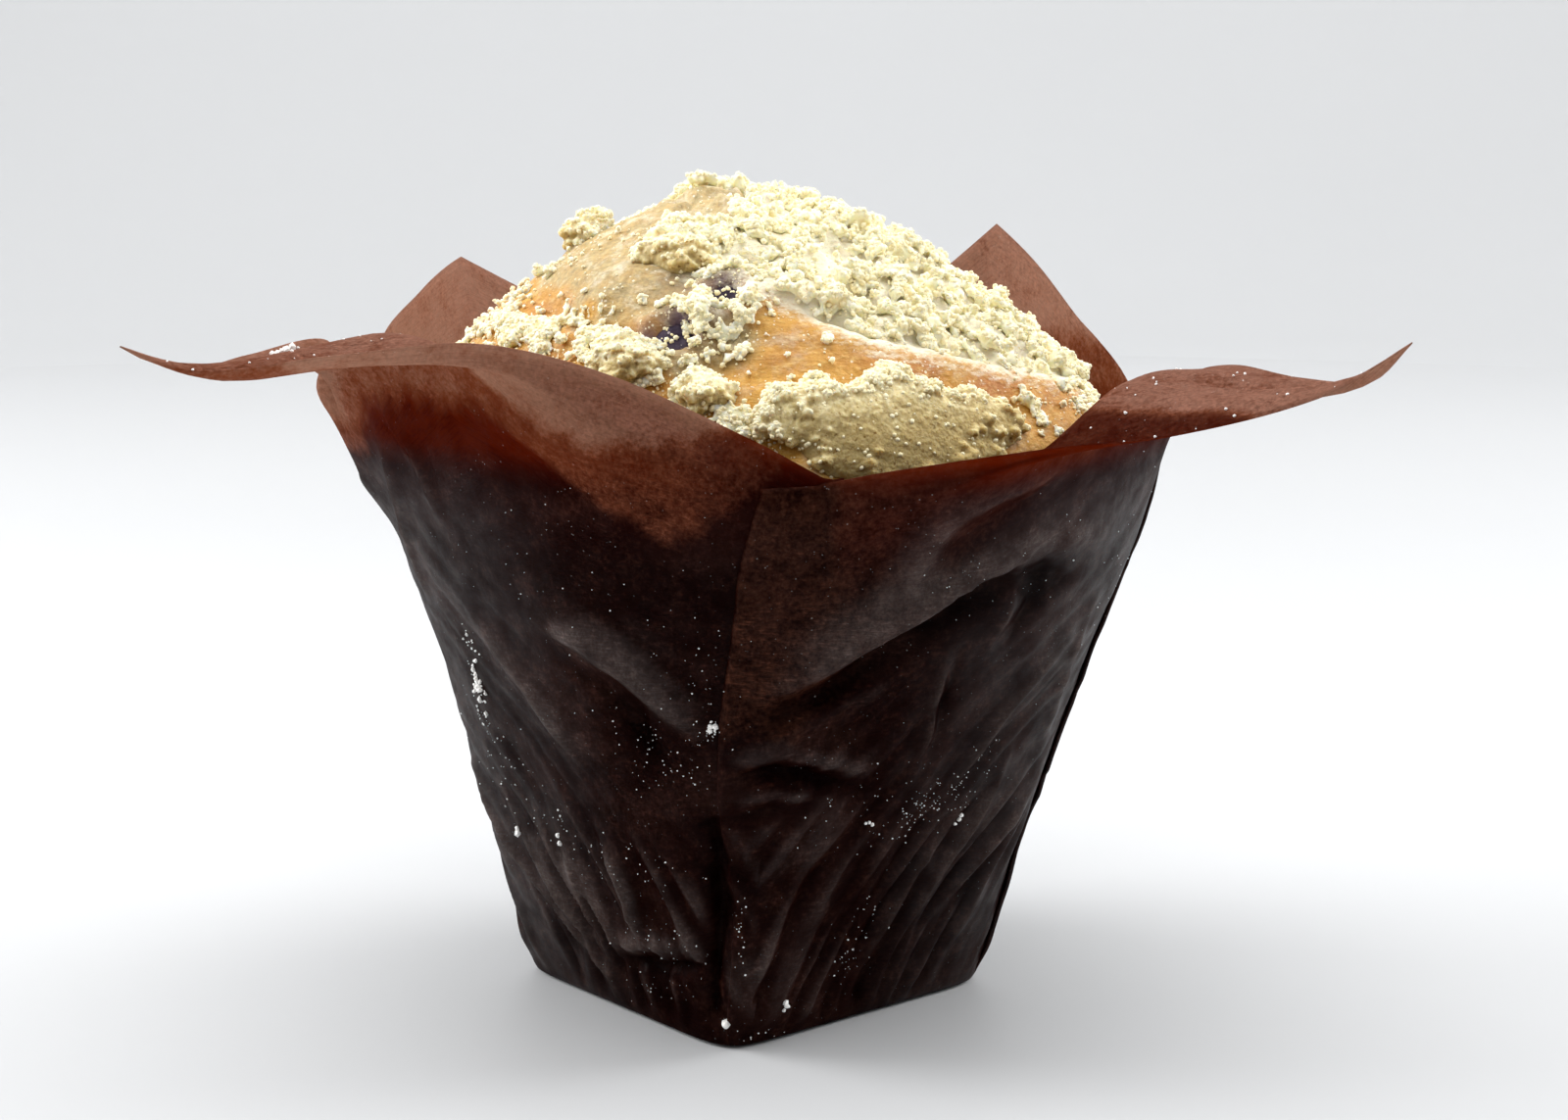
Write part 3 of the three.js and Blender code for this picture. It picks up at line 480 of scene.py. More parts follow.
def facets_at(points, size, seed):
    """Creased facets: 0 on their sharp edges and up to about 1 inside, at each of the points."""
    shifted = points / size + np.array([3.9 * seed, 7.7 * seed, -2.3 * seed])
    result = []
    for p in shifted:
        near = noise.voronoi(Vector(p))[0]
        result.append(near[1] - near[0])
    return np.array(result)


def patches_at(azimuth, level, patches):
    """The strongest of some soft patches on the crown, at each azimuth and level."""
    amount = np.zeros_like(level)
    for patch_azimuth, patch_level, wide, high, strength in patches:
        turn = signed(azimuth - patch_azimuth)
        across = np.radians(turn) * CROWN_RADIUS * np.cos(level * math.pi / 2) ** (2 / CROWN_ROUNDNESS)
        up = (level - patch_level) * CROWN_ARC
        amount = np.maximum(amount, strength * np.exp(-((across / wide) ** 2) - (up / high) ** 2))
    return amount


# ---- The wrap ----


def cup_axis(height):
    return CUP_LEAN * clamp01(height / RIM_HEIGHT)


def twist(height):
    return lerp(FOOT_TWIST, MOUTH_TWIST, clamp01(height / MOUTH_HEIGHT))


def wall_radius(azimuth, height):
    corner = FOOT_CORNER_RADIUS + WALL_SLOPE * height + WALL_FLARE * height * height
    squareness = lerp(FOOT_SQUARENESS, MOUTH_SQUARENESS, clamp01(height / WALL_TOP))
    power = 1 / (0.5 + np.log2(squareness))
    turn = np.radians(azimuth - CORNER_AZIMUTH + 45)
    unit = (np.abs(np.cos(turn)) ** power + np.abs(np.sin(turn)) ** power) ** (-1 / power)
    return corner * squareness * unit


def wall_points(azimuth, height):
    return from_cylinder(azimuth, wall_radius(azimuth, height), height, cup_axis(height))


TABLE_SIDES = np.linspace(-1, 1, 401)


def petal_table(petal):
    """Bend, edge and edge slope of a petal at each of TABLE_SIDES, as columns of one array."""
    enter, leave, bend = (np.array(petal[key], float) for key in ("enter", "leave", "bend"))
    slope = np.array(petal["slope"], float)[:, None]
    enter_knots = chord_knots(enter)
    leave_knots = chord_knots(leave)
    rows = []
    for side in TABLE_SIDES:
        edge = through(enter, enter_knots, side + 1) if side < 0 else through(leave, leave_knots, side)
        rows.append(np.concatenate([through(bend, BEND_STATIONS, side), edge,
                                    through(slope, BEND_STATIONS, side)]))
    return np.array(rows)


PETAL_TABLES = [petal_table(petal) for petal in PETALS]


def paper_points(turn, rise):
    """Points of the cup and its petals. turn counts the petals from the front pleat, and rise is -1 at the
    foot, 0 at the top of the wall and 1 at the edge of the sheet."""
    turn = np.mod(turn, 4)
    number = np.minimum(turn.astype(int), 3)
    side = 2 * (turn - number) - 1
    height = WALL_TOP * np.minimum(1 + rise, 1)
    azimuth = 90 * turn + twist(height)
    wall = wall_points(azimuth, height)
    values = np.zeros(turn.shape + (8,))
    curl = np.zeros(turn.shape)
    for k, table in enumerate(PETAL_TABLES):
        mine = number == k
        curl[mine] = PETALS[k]["curl"]
        for column in range(8):
            values[mine, column] = np.interp(side[mine], TABLE_SIDES, table[:, column])
    bend_azimuth, bend_radius, bend_height, bend_slope, edge_azimuth, edge_radius, edge_height, edge_slope = (
        values[..., column] for column in range(8)
    )
    edge_slope = edge_slope + curl * np.exp(-((side / TIP_CURL_WIDTH) ** 2))
    bend = from_cylinder(bend_azimuth, bend_radius, bend_height, PETAL_AXIS)
    edge = from_cylinder(edge_azimuth, edge_radius, edge_height, PETAL_AXIS)
    wall_slope = math.degrees(math.atan2(1, WALL_SLOPE + 2 * WALL_FLARE * WALL_TOP))
    lower = np.linalg.norm(bend - wall, axis=-1)[..., None]
    upper = np.linalg.norm(edge - bend, axis=-1)[..., None]
    share = lower / (lower + upper)
    bend_way = outward(bend_azimuth, bend_slope) * BEND_PULL
    climb = rise[..., None]
    below = hermite(wall, bend, outward(azimuth, wall_slope) * lower, bend_way * lower, climb / share)
    above = hermite(bend, edge, bend_way * upper, outward(edge_azimuth, edge_slope) * upper,
                    (climb - share) / (1 - share))
    petal = np.where(climb < share, below, above)
    return np.where(climb < 0, wall, petal)


def paper_normals(turn, rise, step=0.002):
    """Directions that point out of the cup's outer side."""
    round_way = paper_points(turn + step, rise) - paper_points(turn - step, rise)
    up_way = paper_points(turn, rise + step) - paper_points(turn, rise - step)
    normal = np.cross(round_way, up_way)
    return normal / np.linalg.norm(normal, axis=-1, keepdims=True)


FLOOR_ROWS = (0.3, 0.5, 0.7, 0.85, 0.95)  # shares of the foot's radius
WALL_ROWS = 84
PETAL_ROWS = 26
PANEL_HALF_COLUMNS = (58, 25, 25, 58)  # in half of each petal's panel
FOLD_SHARES = (0, 0.12, 0.45, 0.75, 0.93, 1.0)  # from the pleat's line to a fold, closer at the fold
FOOT_ROUNDING = 0.9
FLOOR_GAP = 0.02  # between the foot and what it stands on
WALL_ROW_CROWDING = 1.06  # rows lie closer towards the foot
TUCKED_FOLD = ((1.0, 0.15), (1.08, 0.5), (1.0, 0.85))  # shares of the tuck's width, and layers below


def sheet_rows():
    """rise of each row of the sheet, from the rim of the foot to the sheet's edge."""
    wall = -1 + (np.arange(WALL_ROWS) / WALL_ROWS) ** WALL_ROW_CROWDING
    return np.concatenate([wall, np.arange(PETAL_ROWS + 1) / PETAL_ROWS])


def overlap_at(height):
    heights, overlaps = np.array(PLEAT_OVERLAPS, float).T
    return np.interp(height, heights, overlaps)


def pleat_turn(pleat, along, rises):
    """turn of the points that lie along millimetres to the right of a pleat's line."""
    height = WALL_TOP * clamp01(1 + rises)
    spread = lerp(1, PETAL_SPREAD, smooth01(rises))
    return pleat + np.degrees(along / wall_radius(90 * pleat, height) / spread) / 90


def pleat_top(share):
    """Share of the petal's height that the sheet has over a pleat, from its line (0) to its fold (1)."""
    return 1 - PLEAT_TOP_DROP * share ** 0.7


def sheet_columns(rises):
    """The columns of the sheet, from the outer fold of the front pleat once round. Each is its turn at every
    row, the number of paper layers below it, the share of the petal's height that it has, and its petal."""
    height = WALL_TOP * clamp01(1 + rises)
    over = overlap_at(height)
    tuck = PLEAT_TUCK * over
    columns = []
    for number in range(4):
        following = number + 1
        for share in reversed(FOLD_SHARES):
            columns.append((pleat_turn(number, -over * share, rises), 2.0, pleat_top(share), number))
        start = pleat_turn(number, np.zeros_like(over), rises)
        middle = np.full_like(rises, number + 0.5)
        end = pleat_turn(following, tuck, rises)
        steps = PANEL_HALF_COLUMNS[number]
        for step in range(1, steps + 1):
            columns.append((lerp(start, middle, step / steps), 0.0, 1.0, number))
        for step in range(1, steps):
            columns.append((lerp(middle, end, step / steps), 0.0, 1.0, number))
        for width, layers in TUCKED_FOLD:
            columns.append((pleat_turn(following, width * tuck, rises), layers, 1.0, number))
        for share in FOLD_SHARES:
            columns.append((pleat_turn(following, -over * share, rises), 1.0, pleat_top(share), number))
        outer = pleat_turn(following, -over * 1.02 - 0.05, rises)
        columns.append((outer, 1.5, pleat_top(1.01), number))
    return columns


PLEAT_SLOPE_LENGTH = 8.0  # the top layer comes down to the wall over this distance
PLEAT_REACH = 30.0  # farther from its line a pleat changes nothing
DEEPEST_CREASE = -1.6
CREASE_RANGE = 2.4  # height of creases that the mask of raised paper covers
UV_SIZE = 100  # millimetres of the sheet for each unit of its UVs
UV_ROW = 70  # the row of points along which the UVs are measured
PETAL_FLATNESS = 0.75  # how much shallower creases are at the edge of the sheet


def unrolled(azimuth, height):
    """The cup's wall laid flat: millimetres along it and up it."""
    radius = 0.87 * (FOOT_CORNER_RADIUS + WALL_SLOPE * height + WALL_FLARE * height * height)
    return np.stack([np.radians(signed(azimuth)) * radius, height], axis=-1)


def wrap_relief(azimuth, height, crumple):
    """How far creases push the paper outwards, at each azimuth and height."""
    relief = np.zeros(len(azimuth))
    for turned in (0, 180):
        flat = unrolled(azimuth - turned, height)
        for points, out, wide_above, wide_below in CREASES:
            line = np.array(points, float)
            away, share, above = line_distance(flat, unrolled(line[:, 0], line[:, 1]))
            taper = np.sin(math.pi * np.clip(share, 0.04, 0.96)) ** 0.5
            width = np.where(above, wide_above, wide_below)
            relief += out * taper * np.exp(-((away / width) ** 1.5))
    # Small creases run down towards the front and the back pleat.
    from_front = np.abs(signed(azimuth))
    folded = np.where(from_front > 90, 180 - from_front, from_front)
    side = np.where(from_front > 90, 40.0, 0.0) + np.where((azimuth % 360) > 180, 11.0, 0.0)
    across = np.radians(folded) * 32 - (0.3 * height + 0.009 * height ** 2)
    streaks = np.stack([across + side, height / 5.0, 0.7 * side], axis=1)
    streaks[:, 0] += 2.6 * noise_at(streaks, 6.0, 3) + 0.8 * noise_at(streaks, 2.2, 4)
    low = smooth01((60 - height) / 16) * smooth01(height / 4)
    strength = (0.3 + 0.7 * smooth01((36 - height) / 20)) * (1 - 0.55 * smooth01((folded - 64) / 18))
    ridges = 0.45 - facets_at(streaks, 4.2, 1)
    small = 0.3 - facets_at(streaks, 2.2, 2)
    waves = noise_at(streaks, 2.3, 7)
    relief += crumple * low * strength * (0.6 * ridges + 0.2 * small + 1.35 * waves)
    # Broad, soft swelling of the whole sheet.
    nominal = wall_points(azimuth, height)
    relief += 0.35 * noise_at(nominal, 13.0, 5) * smooth01(height / 8)
    relief += 0.14 * noise_at(nominal, 4.5, 6) * smooth01(height / 8)
    return np.maximum(relief, DEEPEST_CREASE)


def new_object(name, mesh):
    obj = bpy.data.objects.new(name, mesh)
    bpy.context.scene.collection.objects.link(obj)
    return obj


def finish_mesh(name, bm, smooth=True):
    """A named object from a bmesh whose lengths are millimetres."""
    bmesh.ops.scale(bm, vec=Vector((MM, MM, MM)), verts=bm.verts)
    mesh = bpy.data.meshes.new(name)
    bm.to_mesh(mesh)
    bm.free()
    for polygon in mesh.polygons:
        polygon.use_smooth = smooth
    return new_object(name, mesh)


def set_attribute(mesh, name, values):
    attribute = mesh.attributes.new(name, "FLOAT", "POINT")
    attribute.data.foreach_set("value", np.asarray(values, np.float32))


def layers_below(turn, columns, height, rows):
    """How many layers of paper lie below each point of the sheet, fewer towards the foot."""
    layers = np.array([column[1] for column in columns])[:, None] * np.ones((1, rows))
    petal = np.array([column[3] for column in columns])[:, None]
    # Right of each pleat the top layer comes down to the wall.
    for number in range(4):
        past = np.radians(90 * (turn - number)) * wall_radius(90 * number, height)[None, :]
        panel = (petal == number) & (layers == 0) & (past < PLEAT_REACH)
        layers = np.where(panel, 2 * smooth01(1 - past / PLEAT_SLOPE_LENGTH), layers)
    return layers * smooth01(height / 5)[None, :]


def path_lengths(points):
    """The length of a path up to each of its points."""
    return np.concatenate([[0], np.cumsum(np.linalg.norm(np.diff(points, axis=0), axis=1))])


def make_wrap(settings):
    """The paper sheet: a grid, moved onto the form of the pleated cup and its petals."""
    rises = sheet_rows()
    columns = sheet_columns(rises)
    floors = len(FLOOR_ROWS)
    rows = floors + len(rises)
    count = len(columns)
    bm = bmesh.new()
    bmesh.ops.create_grid(bm, x_segments=count, y_segments=rows - 1, size=1)
    bm.verts.ensure_lookup_table()
    turn = np.stack([column[0] for column in columns])
    top = np.array([column[2] for column in columns])[:, None]
    rise = np.where(rises[None, :] > 0, rises[None, :] * top, rises[None, :])
    points = paper_points(turn, rise)
    normals = paper_normals(turn, rise)
    height = WALL_TOP * clamp01(1 + rises)
    layers = layers_below(turn, columns, height, len(rises))
    azimuth = np.degrees(np.arctan2(points[..., 0] - cup_axis(points[..., 2]), -points[..., 1]))
    relief = wrap_relief(azimuth.ravel(), points[..., 2].ravel(), settings.crumple / MM)
    relief = relief.reshape(azimuth.shape) * (1 - PETAL_FLATNESS * clamp01(rise) ** 2)
    points = points + normals * (layers * settings.layer_gap / MM + relief)[..., None]
    # The foot: the lowest rows of the wall turn in, and the floor rows close in on the middle.
    lowest = settings.thickness / MM / 2 + FLOOR_GAP
    inward = FOOT_ROUNDING * (1 - np.sqrt(clamp01(1 - (1 - clamp01(height / FOOT_ROUNDING)) ** 2)))
    away = np.linalg.norm(points[..., :2], axis=-1, keepdims=True)
    points[..., :2] *= 1 - inward[None, :, None] / away
    points[..., 2] = np.maximum(points[..., 2], lowest)
    rim = pleatless_ring(turn[:, 0])
    low = np.full((count, 1), lowest)
    floor_points = [np.concatenate([rim * share, low], axis=1) for share in FLOOR_ROWS]
    every = np.concatenate([np.stack(floor_points, axis=1), points], axis=1)
    # Grid vertices come row by row, each with one vertex more than it has segments.
    order = np.array([(vert.co.x, vert.co.y) for vert in bm.verts])
    grid_column = np.rint((order[:, 0] + 1) / 2 * count).astype(int)
    column_of = grid_column % count
    row_of = np.rint((order[:, 1] + 1) / 2 * (rows - 1)).astype(int)
    for vert, c, r in zip(bm.verts, column_of, row_of):
        vert.co = every[c, r]
    uv_layer = bm.loops.layers.uv.new("sheet")
    along = path_lengths(every[:, UV_ROW, :])
    along = np.append(along, along[-1] + 1)
    up = path_lengths(every[PANEL_HALF_COLUMNS[0]])
    for face in bm.faces:
        for loop in face.loops:
            k = loop.vert.index
            loop[uv_layer].uv = (along[grid_column[k]] / UV_SIZE, up[row_of[k]] / UV_SIZE)
    grease_layer = bm.verts.layers.float.new("grease")
    raised_layer = bm.verts.layers.float.new("raised")
    grease = grease_mask(turn, rise, points, columns)
    raised = clamp01(0.5 + relief / CREASE_RANGE)
    for vert, c, r in zip(bm.verts, column_of, row_of):
        vert[grease_layer] = 1.0 if r < floors else grease[c, r - floors]
        vert[raised_layer] = 0.5 if r < floors else raised[c, r - floors]
    bmesh.ops.remove_doubles(bm, verts=bm.verts, dist=1e-4)
    hole = [edge for edge in bm.edges if edge.is_boundary and max(v.co.z for v in edge.verts) < 1]
    bmesh.ops.holes_fill(bm, edges=hole, sides=0)
    bm.normal_update()
    paper = finish_mesh("wrap_sheet", bm)
    solid = paper.modifiers.new("Thickness", "SOLIDIFY")
    solid.thickness = settings.thickness
    solid.offset = 0
    return paper


def pleatless_ring(turn):
    """The foot's outline without the pleats' steps back, so that the floor's rows don't cross."""
    forward = np.maximum.accumulate(turn)
    azimuth = 90 * np.minimum(forward, 4 + turn[0]) + FOOT_TWIST
    return wall_points(azimuth, np.zeros_like(azimuth))[:, :2]


BUTTER_EDGE_NOISE = ((1.5, 8.0, 8), (1.1, 2.6, 9))


def grease_mask(turn, rise, points, columns):
    """How far butter has soaked in, from 0 where the paper is dry to 1, for each point of the sheet."""
    petal = np.array([column[3] for column in columns])[:, None]
    side = 2 * (turn - petal) - 1
    soaked, dry, between = (np.zeros_like(rise) for _ in range(3))
    for number, rows in enumerate(GREASE_LINES):
        sides, *values = np.array(rows, float).T
        for target, value in zip((soaked, dry, between), values):
            target[:] = np.where(petal == number, np.interp(side, sides, value), target)
    flat = points.reshape(-1, 3)
    rough = layered_noise(flat, BUTTER_EDGE_NOISE).reshape(rise.shape)
    height = points[..., 2] + rough
    below = smooth01((soaked - height) / 2.0 + 0.5)
    above = smooth01((height - dry) / 2.4 + 0.5)
    return between * (1 - above) + (1 - between) * below


# ---- The crown ----


def crown_points(azimuth, level, out=0.0):
    quarter = level * math.pi / 2
    spread = np.cos(quarter) ** (2 / CROWN_ROUNDNESS)
    height = np.sin(quarter) ** (2 / CROWN_ROUNDNESS)
    rim = wall_radius(azimuth, RIM_HEIGHT) - RIM_INSET
    held = clamp01(level / SWELLING_START)
    swell = np.zeros_like(level) + out
    for bump_azimuth, bump_level, width, bump_out in SWELLINGS:
        turn = signed(azimuth - bump_azimuth)
        away = np.hypot(np.radians(turn) * spread, level - bump_level) / width
        swell = swell + held * bump_out * np.exp(-away * away)
    axis = lerp(cup_axis(RIM_HEIGHT), CROWN_TOP_X, height)
    point = from_cylinder(azimuth, rim * spread, lerp(RIM_HEIGHT, CROWN_TOP, height), axis)
    return point + outward(azimuth, lerp(CROWN_SIDE_SLOPE, 90, level)) * swell[..., None]


def crown_normals(azimuth, level):
    round_way = crown_points(azimuth + 1, level) - crown_points(azimuth - 1, level)
    up_way = crown_points(azimuth, np.minimum(level + 0.01, 1)) - crown_points(azimuth, level - 0.01)
    normal = np.cross(round_way, up_way)
    return normal / np.maximum(np.linalg.norm(normal, axis=-1, keepdims=True), 1e-9)


def mounds_at(spots):
    """How high the thick crumbs are heaped, from 0 to 1."""
    return smooth01(0.45 + 1.7 * noise_at(spots, 4.6, 52) + 0.8 * noise_at(spots, 2.0, 53))


def thick_from(azimuth):
    """The level from which a thick layer of crumbs covers the crown."""
    starts, levels = np.array(THICK_FROM, float).T
    return np.interp(signed(azimuth), starts, levels)


def thick_crumbs_at(azimuth, level):
    """1 where a thick layer of crumbs covers the crown, and 0 where it doesn't."""
    return smooth01((level - thick_from(azimuth)) / 0.03 + 0.5)


def bald_at(azimuth, level):
    """1 where the top of the crown has lost its crumbs."""
    front = smooth01((level - 0.73) / 0.05) * ((-azimuth) % 360 < 110)
    return np.maximum(front, smooth01((level - 0.9) / 0.05))


RIM_LEVEL = -25.0  # latitude of the ball that becomes the crown's rim
HIDDEN_INSET = 1.15  # the part inside the cup stands back from the paper
HIDDEN_FOOT = 1.4  # height of the cake's underside
HIDDEN_SIDE = 0.72  # share of the part inside the cup that is its side, and the rest is its underside
# Layers of noise: height, size and seed.
CRUST_NOISE = ((0.7, 7.0, 11), (0.35, 3.0, 12), (0.16, 1.3, 13))
PATCH_EDGE_NOISE = ((0.35, 2.6, 14), (0.25, 6.0, 15))
DUSTED_BAND = 0.1  # how far below thick crumbs the crust is dusted, as a difference in level


def crust_folds(crown):
    """How far the folds of the crust, and the rims round the berries, stand out."""
    folds = np.zeros(len(crown))
    for points, out, width in CRUST_FOLDS:
        line = np.array(points, float)
        away, share, _ = line_distance(crown, crown_points(line[:, 0], line[:, 1]))
        taper = np.sin(math.pi * np.clip(share, 0.05, 0.95)) ** 0.4
        folds += out * taper * np.exp(-((away / width) ** 2))
    for azimuth, level, radius, _ in BERRIES.values():
        middle = crown_points(np.array([float(azimuth)]), np.array([level]))
        away = np.linalg.norm(crown - middle, axis=1)
        folds += BERRY_RIM * np.exp(-(((away - 0.95 * radius) / 1.3) ** 2)) - 1.2 * (away < 0.5 * radius)
    return folds


def make_crown(crumple):
    """The cake: a ball of even triangles, moved onto the form of the crown and of what the cup holds."""
    bm = bmesh.new()
    bmesh.ops.create_icosphere(bm, subdivisions=7, radius=1)
    ball = np.array([vert.co for vert in bm.verts])
    latitude = np.degrees(np.arcsin(np.clip(ball[:, 2], -1, 1)))
    azimuth = np.degrees(np.arctan2(ball[:, 0], -ball[:, 1]))
    level = clamp01((latitude - RIM_LEVEL) / (90 - RIM_LEVEL))
    crown = crown_points(azimuth, level)
    thick = thick_crumbs_at(azimuth, level)
    mounds = mounds_at(crown)
    lumps = layered_noise(crown, CRUST_NOISE)
    lumps += thick * (1.5 * mounds - 0.7)
    # Under thick crumbs the crust stands back by half of their depth.
    out = smooth01(level / 0.12) * (crust_folds(crown) + lumps - 0.5 * thick)
    crown = crown + outward(azimuth, lerp(CROWN_SIDE_SLOPE, 90, level)) * out[:, None]
    depth = clamp01((RIM_LEVEL - latitude) / (90 + RIM_LEVEL))  # 0 at the rim, 1 at the bottom
    height = lerp(RIM_HEIGHT, HIDDEN_FOOT, clamp01(depth / HIDDEN_SIDE))
    # What the cup holds follows the creases of the paper.
    hold = smooth01(depth / 0.1)
    radius = wall_radius(azimuth, height) - lerp(RIM_INSET, HIDDEN_INSET, hold)
    radius = radius + hold * wrap_relief(azimuth, height, crumple)
    radius = radius * np.sqrt(clamp01(1 - clamp01((depth - HIDDEN_SIDE) / (1 - HIDDEN_SIDE)) ** 2))
    below = from_cylinder(azimuth, radius, height, cup_axis(height))
    spots = np.where((latitude < RIM_LEVEL)[:, None], below, crown)
    for vert, spot in zip(bm.verts, spots):
        vert.co = spot
    cake = finish_mesh("cake_crown", bm)
    ragged = layered_noise(crown, PATCH_EDGE_NOISE)
    floury = patches_at(azimuth, level, FLOURY_PATCHES) - patches_at(azimuth, level, GOLDEN_PATCHES)
    juice = patches_at(azimuth, level, JUICE_PATCHES)
    browned = patches_at(azimuth, level, BROWN_PATCHES)
    bald = bald_at(azimuth, level)
    dusted = clamp01(1 - (thick_from(azimuth) - level) / DUSTED_BAND)
    masks = {
        "crumbed": clamp01(thick * (0.8 + 0.3 * mounds)) * (1 - 0.85 * bald),
        "dusted": dusted * (level > 0.1) * (1 - bald),
        "floury": smooth01((floury + 0.8 * ragged - 0.35) / 0.5),
        "juice": clamp01(juice * (1 + ragged)),
        "browned": clamp01(browned * (1 + 1.4 * ragged)),
        "azimuth": azimuth,
        "level": level,
    }
    for name, values in masks.items():
        set_attribute(cake.data, name, values)
    return cake


# ---- Streusel ----


def knobbly_ball(subdivisions, seed, roughness=0.34, balls=1):
    """Points and faces of one crumb of radius 1: lumpy balls that have grown together."""
    bm = bmesh.new()
    bmesh.ops.create_icosphere(bm, subdivisions=subdivisions, radius=1)
    ball = np.array([vert.co for vert in bm.verts])
    triangles = np.array([[vert.index for vert in face.verts] for face in bm.faces])
    bm.free()
    rng = np.random.default_rng(int(seed * 7) + balls)
    all_spots = []
    all_faces = []
    for k in range(balls):
        size = 1 + roughness * noise_at(ball, 0.9, seed + 3 * k)
        size = size + 0.6 * roughness * noise_at(ball, 0.42, seed + k)
        spots = ball * size[:, None] * np.array([1.0, 0.85, 0.75])
        if balls > 1:
            way = rng.normal(size=3)
            spots = spots * rng.uniform(0.45, 0.72) + way / np.linalg.norm(way) * rng.uniform(0.4, 0.6)
        all_spots.append(spots)
        all_faces.append(triangles + k * len(ball))
    return np.concatenate(all_spots), np.concatenate(all_faces)


def turn_matrices(quaternions):
    """Rotation matrices of random unit quaternions."""
    w, x, y, z = (quaternions / np.linalg.norm(quaternions, axis=1, keepdims=True)).T
    return np.stack([
        np.stack([1 - 2 * (y * y + z * z), 2 * (x * y - z * w), 2 * (x * z + y * w)], axis=1),
        np.stack([2 * (x * y + z * w), 1 - 2 * (x * x + z * z), 2 * (y * z - x * w)], axis=1),
        np.stack([2 * (x * z - y * w), 2 * (y * z + x * w), 1 - 2 * (x * x + y * y)], axis=1),
    ], axis=1)


def joined_grains(name, places, sizes, templates, rng, smooth):
    """One mesh of many grains: each a turned copy of a random template, with its own tone."""
    count = len(places)
    kinds = rng.integers(0, len(templates), count)
    turns = turn_matrices(rng.normal(size=(count, 4)))
    tones = 0.55 + 0.45 * rng.random(count)
    all_spots = []
    all_faces = []
    all_tones = []
    offset = 0
    for kind, (spots, faces) in enumerate(templates):
        mine = np.nonzero(kinds == kind)[0]
        if len(mine) == 0:
            continue
        placed = np.einsum("nij,vj->nvi", turns[mine], spots) * sizes[mine, None, None]
        placed += places[mine, None, :]
        all_spots.append(placed.reshape(-1, 3))
        steps = offset + np.arange(len(mine)) * len(spots)
        all_faces.append((faces[None, :, :] + steps[:, None, None]).reshape(-1, 3))
        all_tones.append(np.repeat(tones[mine], len(spots)))
        offset += len(mine) * len(spots)
    spots = np.concatenate(all_spots) * MM
    faces = np.concatenate(all_faces)
    mesh = bpy.data.meshes.new(name)
    mesh.from_pydata(spots.tolist(), [], faces.tolist())
    set_attribute(mesh, "tone", np.concatenate(all_tones))
    for polygon in mesh.polygons:
        polygon.use_smooth = smooth
    return new_object(name, mesh)


def scatter(rng, count, spots, faces, density, azimuth, level):
    """Random places on a mesh by a density at its points: places, normals, azimuths and levels."""
    corners = spots[faces]
    cross = np.cross(corners[:, 1] - corners[:, 0], corners[:, 2] - corners[:, 0])
    area = np.linalg.norm(cross, axis=1)
    weight = area * density[faces].mean(axis=1)
    chosen = rng.choice(len(faces), count, p=weight / weight.sum())
    a, b = rng.random((2, count))
    flip = a + b > 1
    a = np.where(flip, 1 - a, a)
    b = np.where(flip, 1 - b, b)
    shares = np.stack([1 - a - b, a, b], axis=1)
    places = (corners[chosen] * shares[:, :, None]).sum(axis=1)
    normals = cross[chosen] / area[chosen, None]
    picked = faces[chosen]
    return places, normals, azimuth[picked[:, 0]], level[picked[:, 0]]


BIG_LUMP = 8.0  # half width from which a lump is a slab
CRUMB_VOXEL = 0.29
SLAB_VOXEL = 0.22
LUMP_VOXEL = 0.17
MASS_GRAIN = 0.8  # how deep the grain of the crumb masses is, when the lumps' is 1
MASS_SPLIT = 6.0  # crumbs in front of this y belong to the front piece


def crumb_density(azimuth, level):
    """How densely crumbs cover the crown: thick layers, patches, and a few everywhere."""
    thick = thick_crumbs_at(azimuth, level)
    patches = patches_at(azimuth, level, CRUMB_PATCHES)
    heaps = patches_at(azimuth, level, CRUMB_HEAPS)
    density = np.maximum(np.maximum(thick * (1 - 0.9 * bald_at(azimuth, level)), 2.0 * patches), 2.6 * heaps)
    return density * (1 - clamp01(1.4 * patches_at(azimuth, level, BARE_BERRIES)))


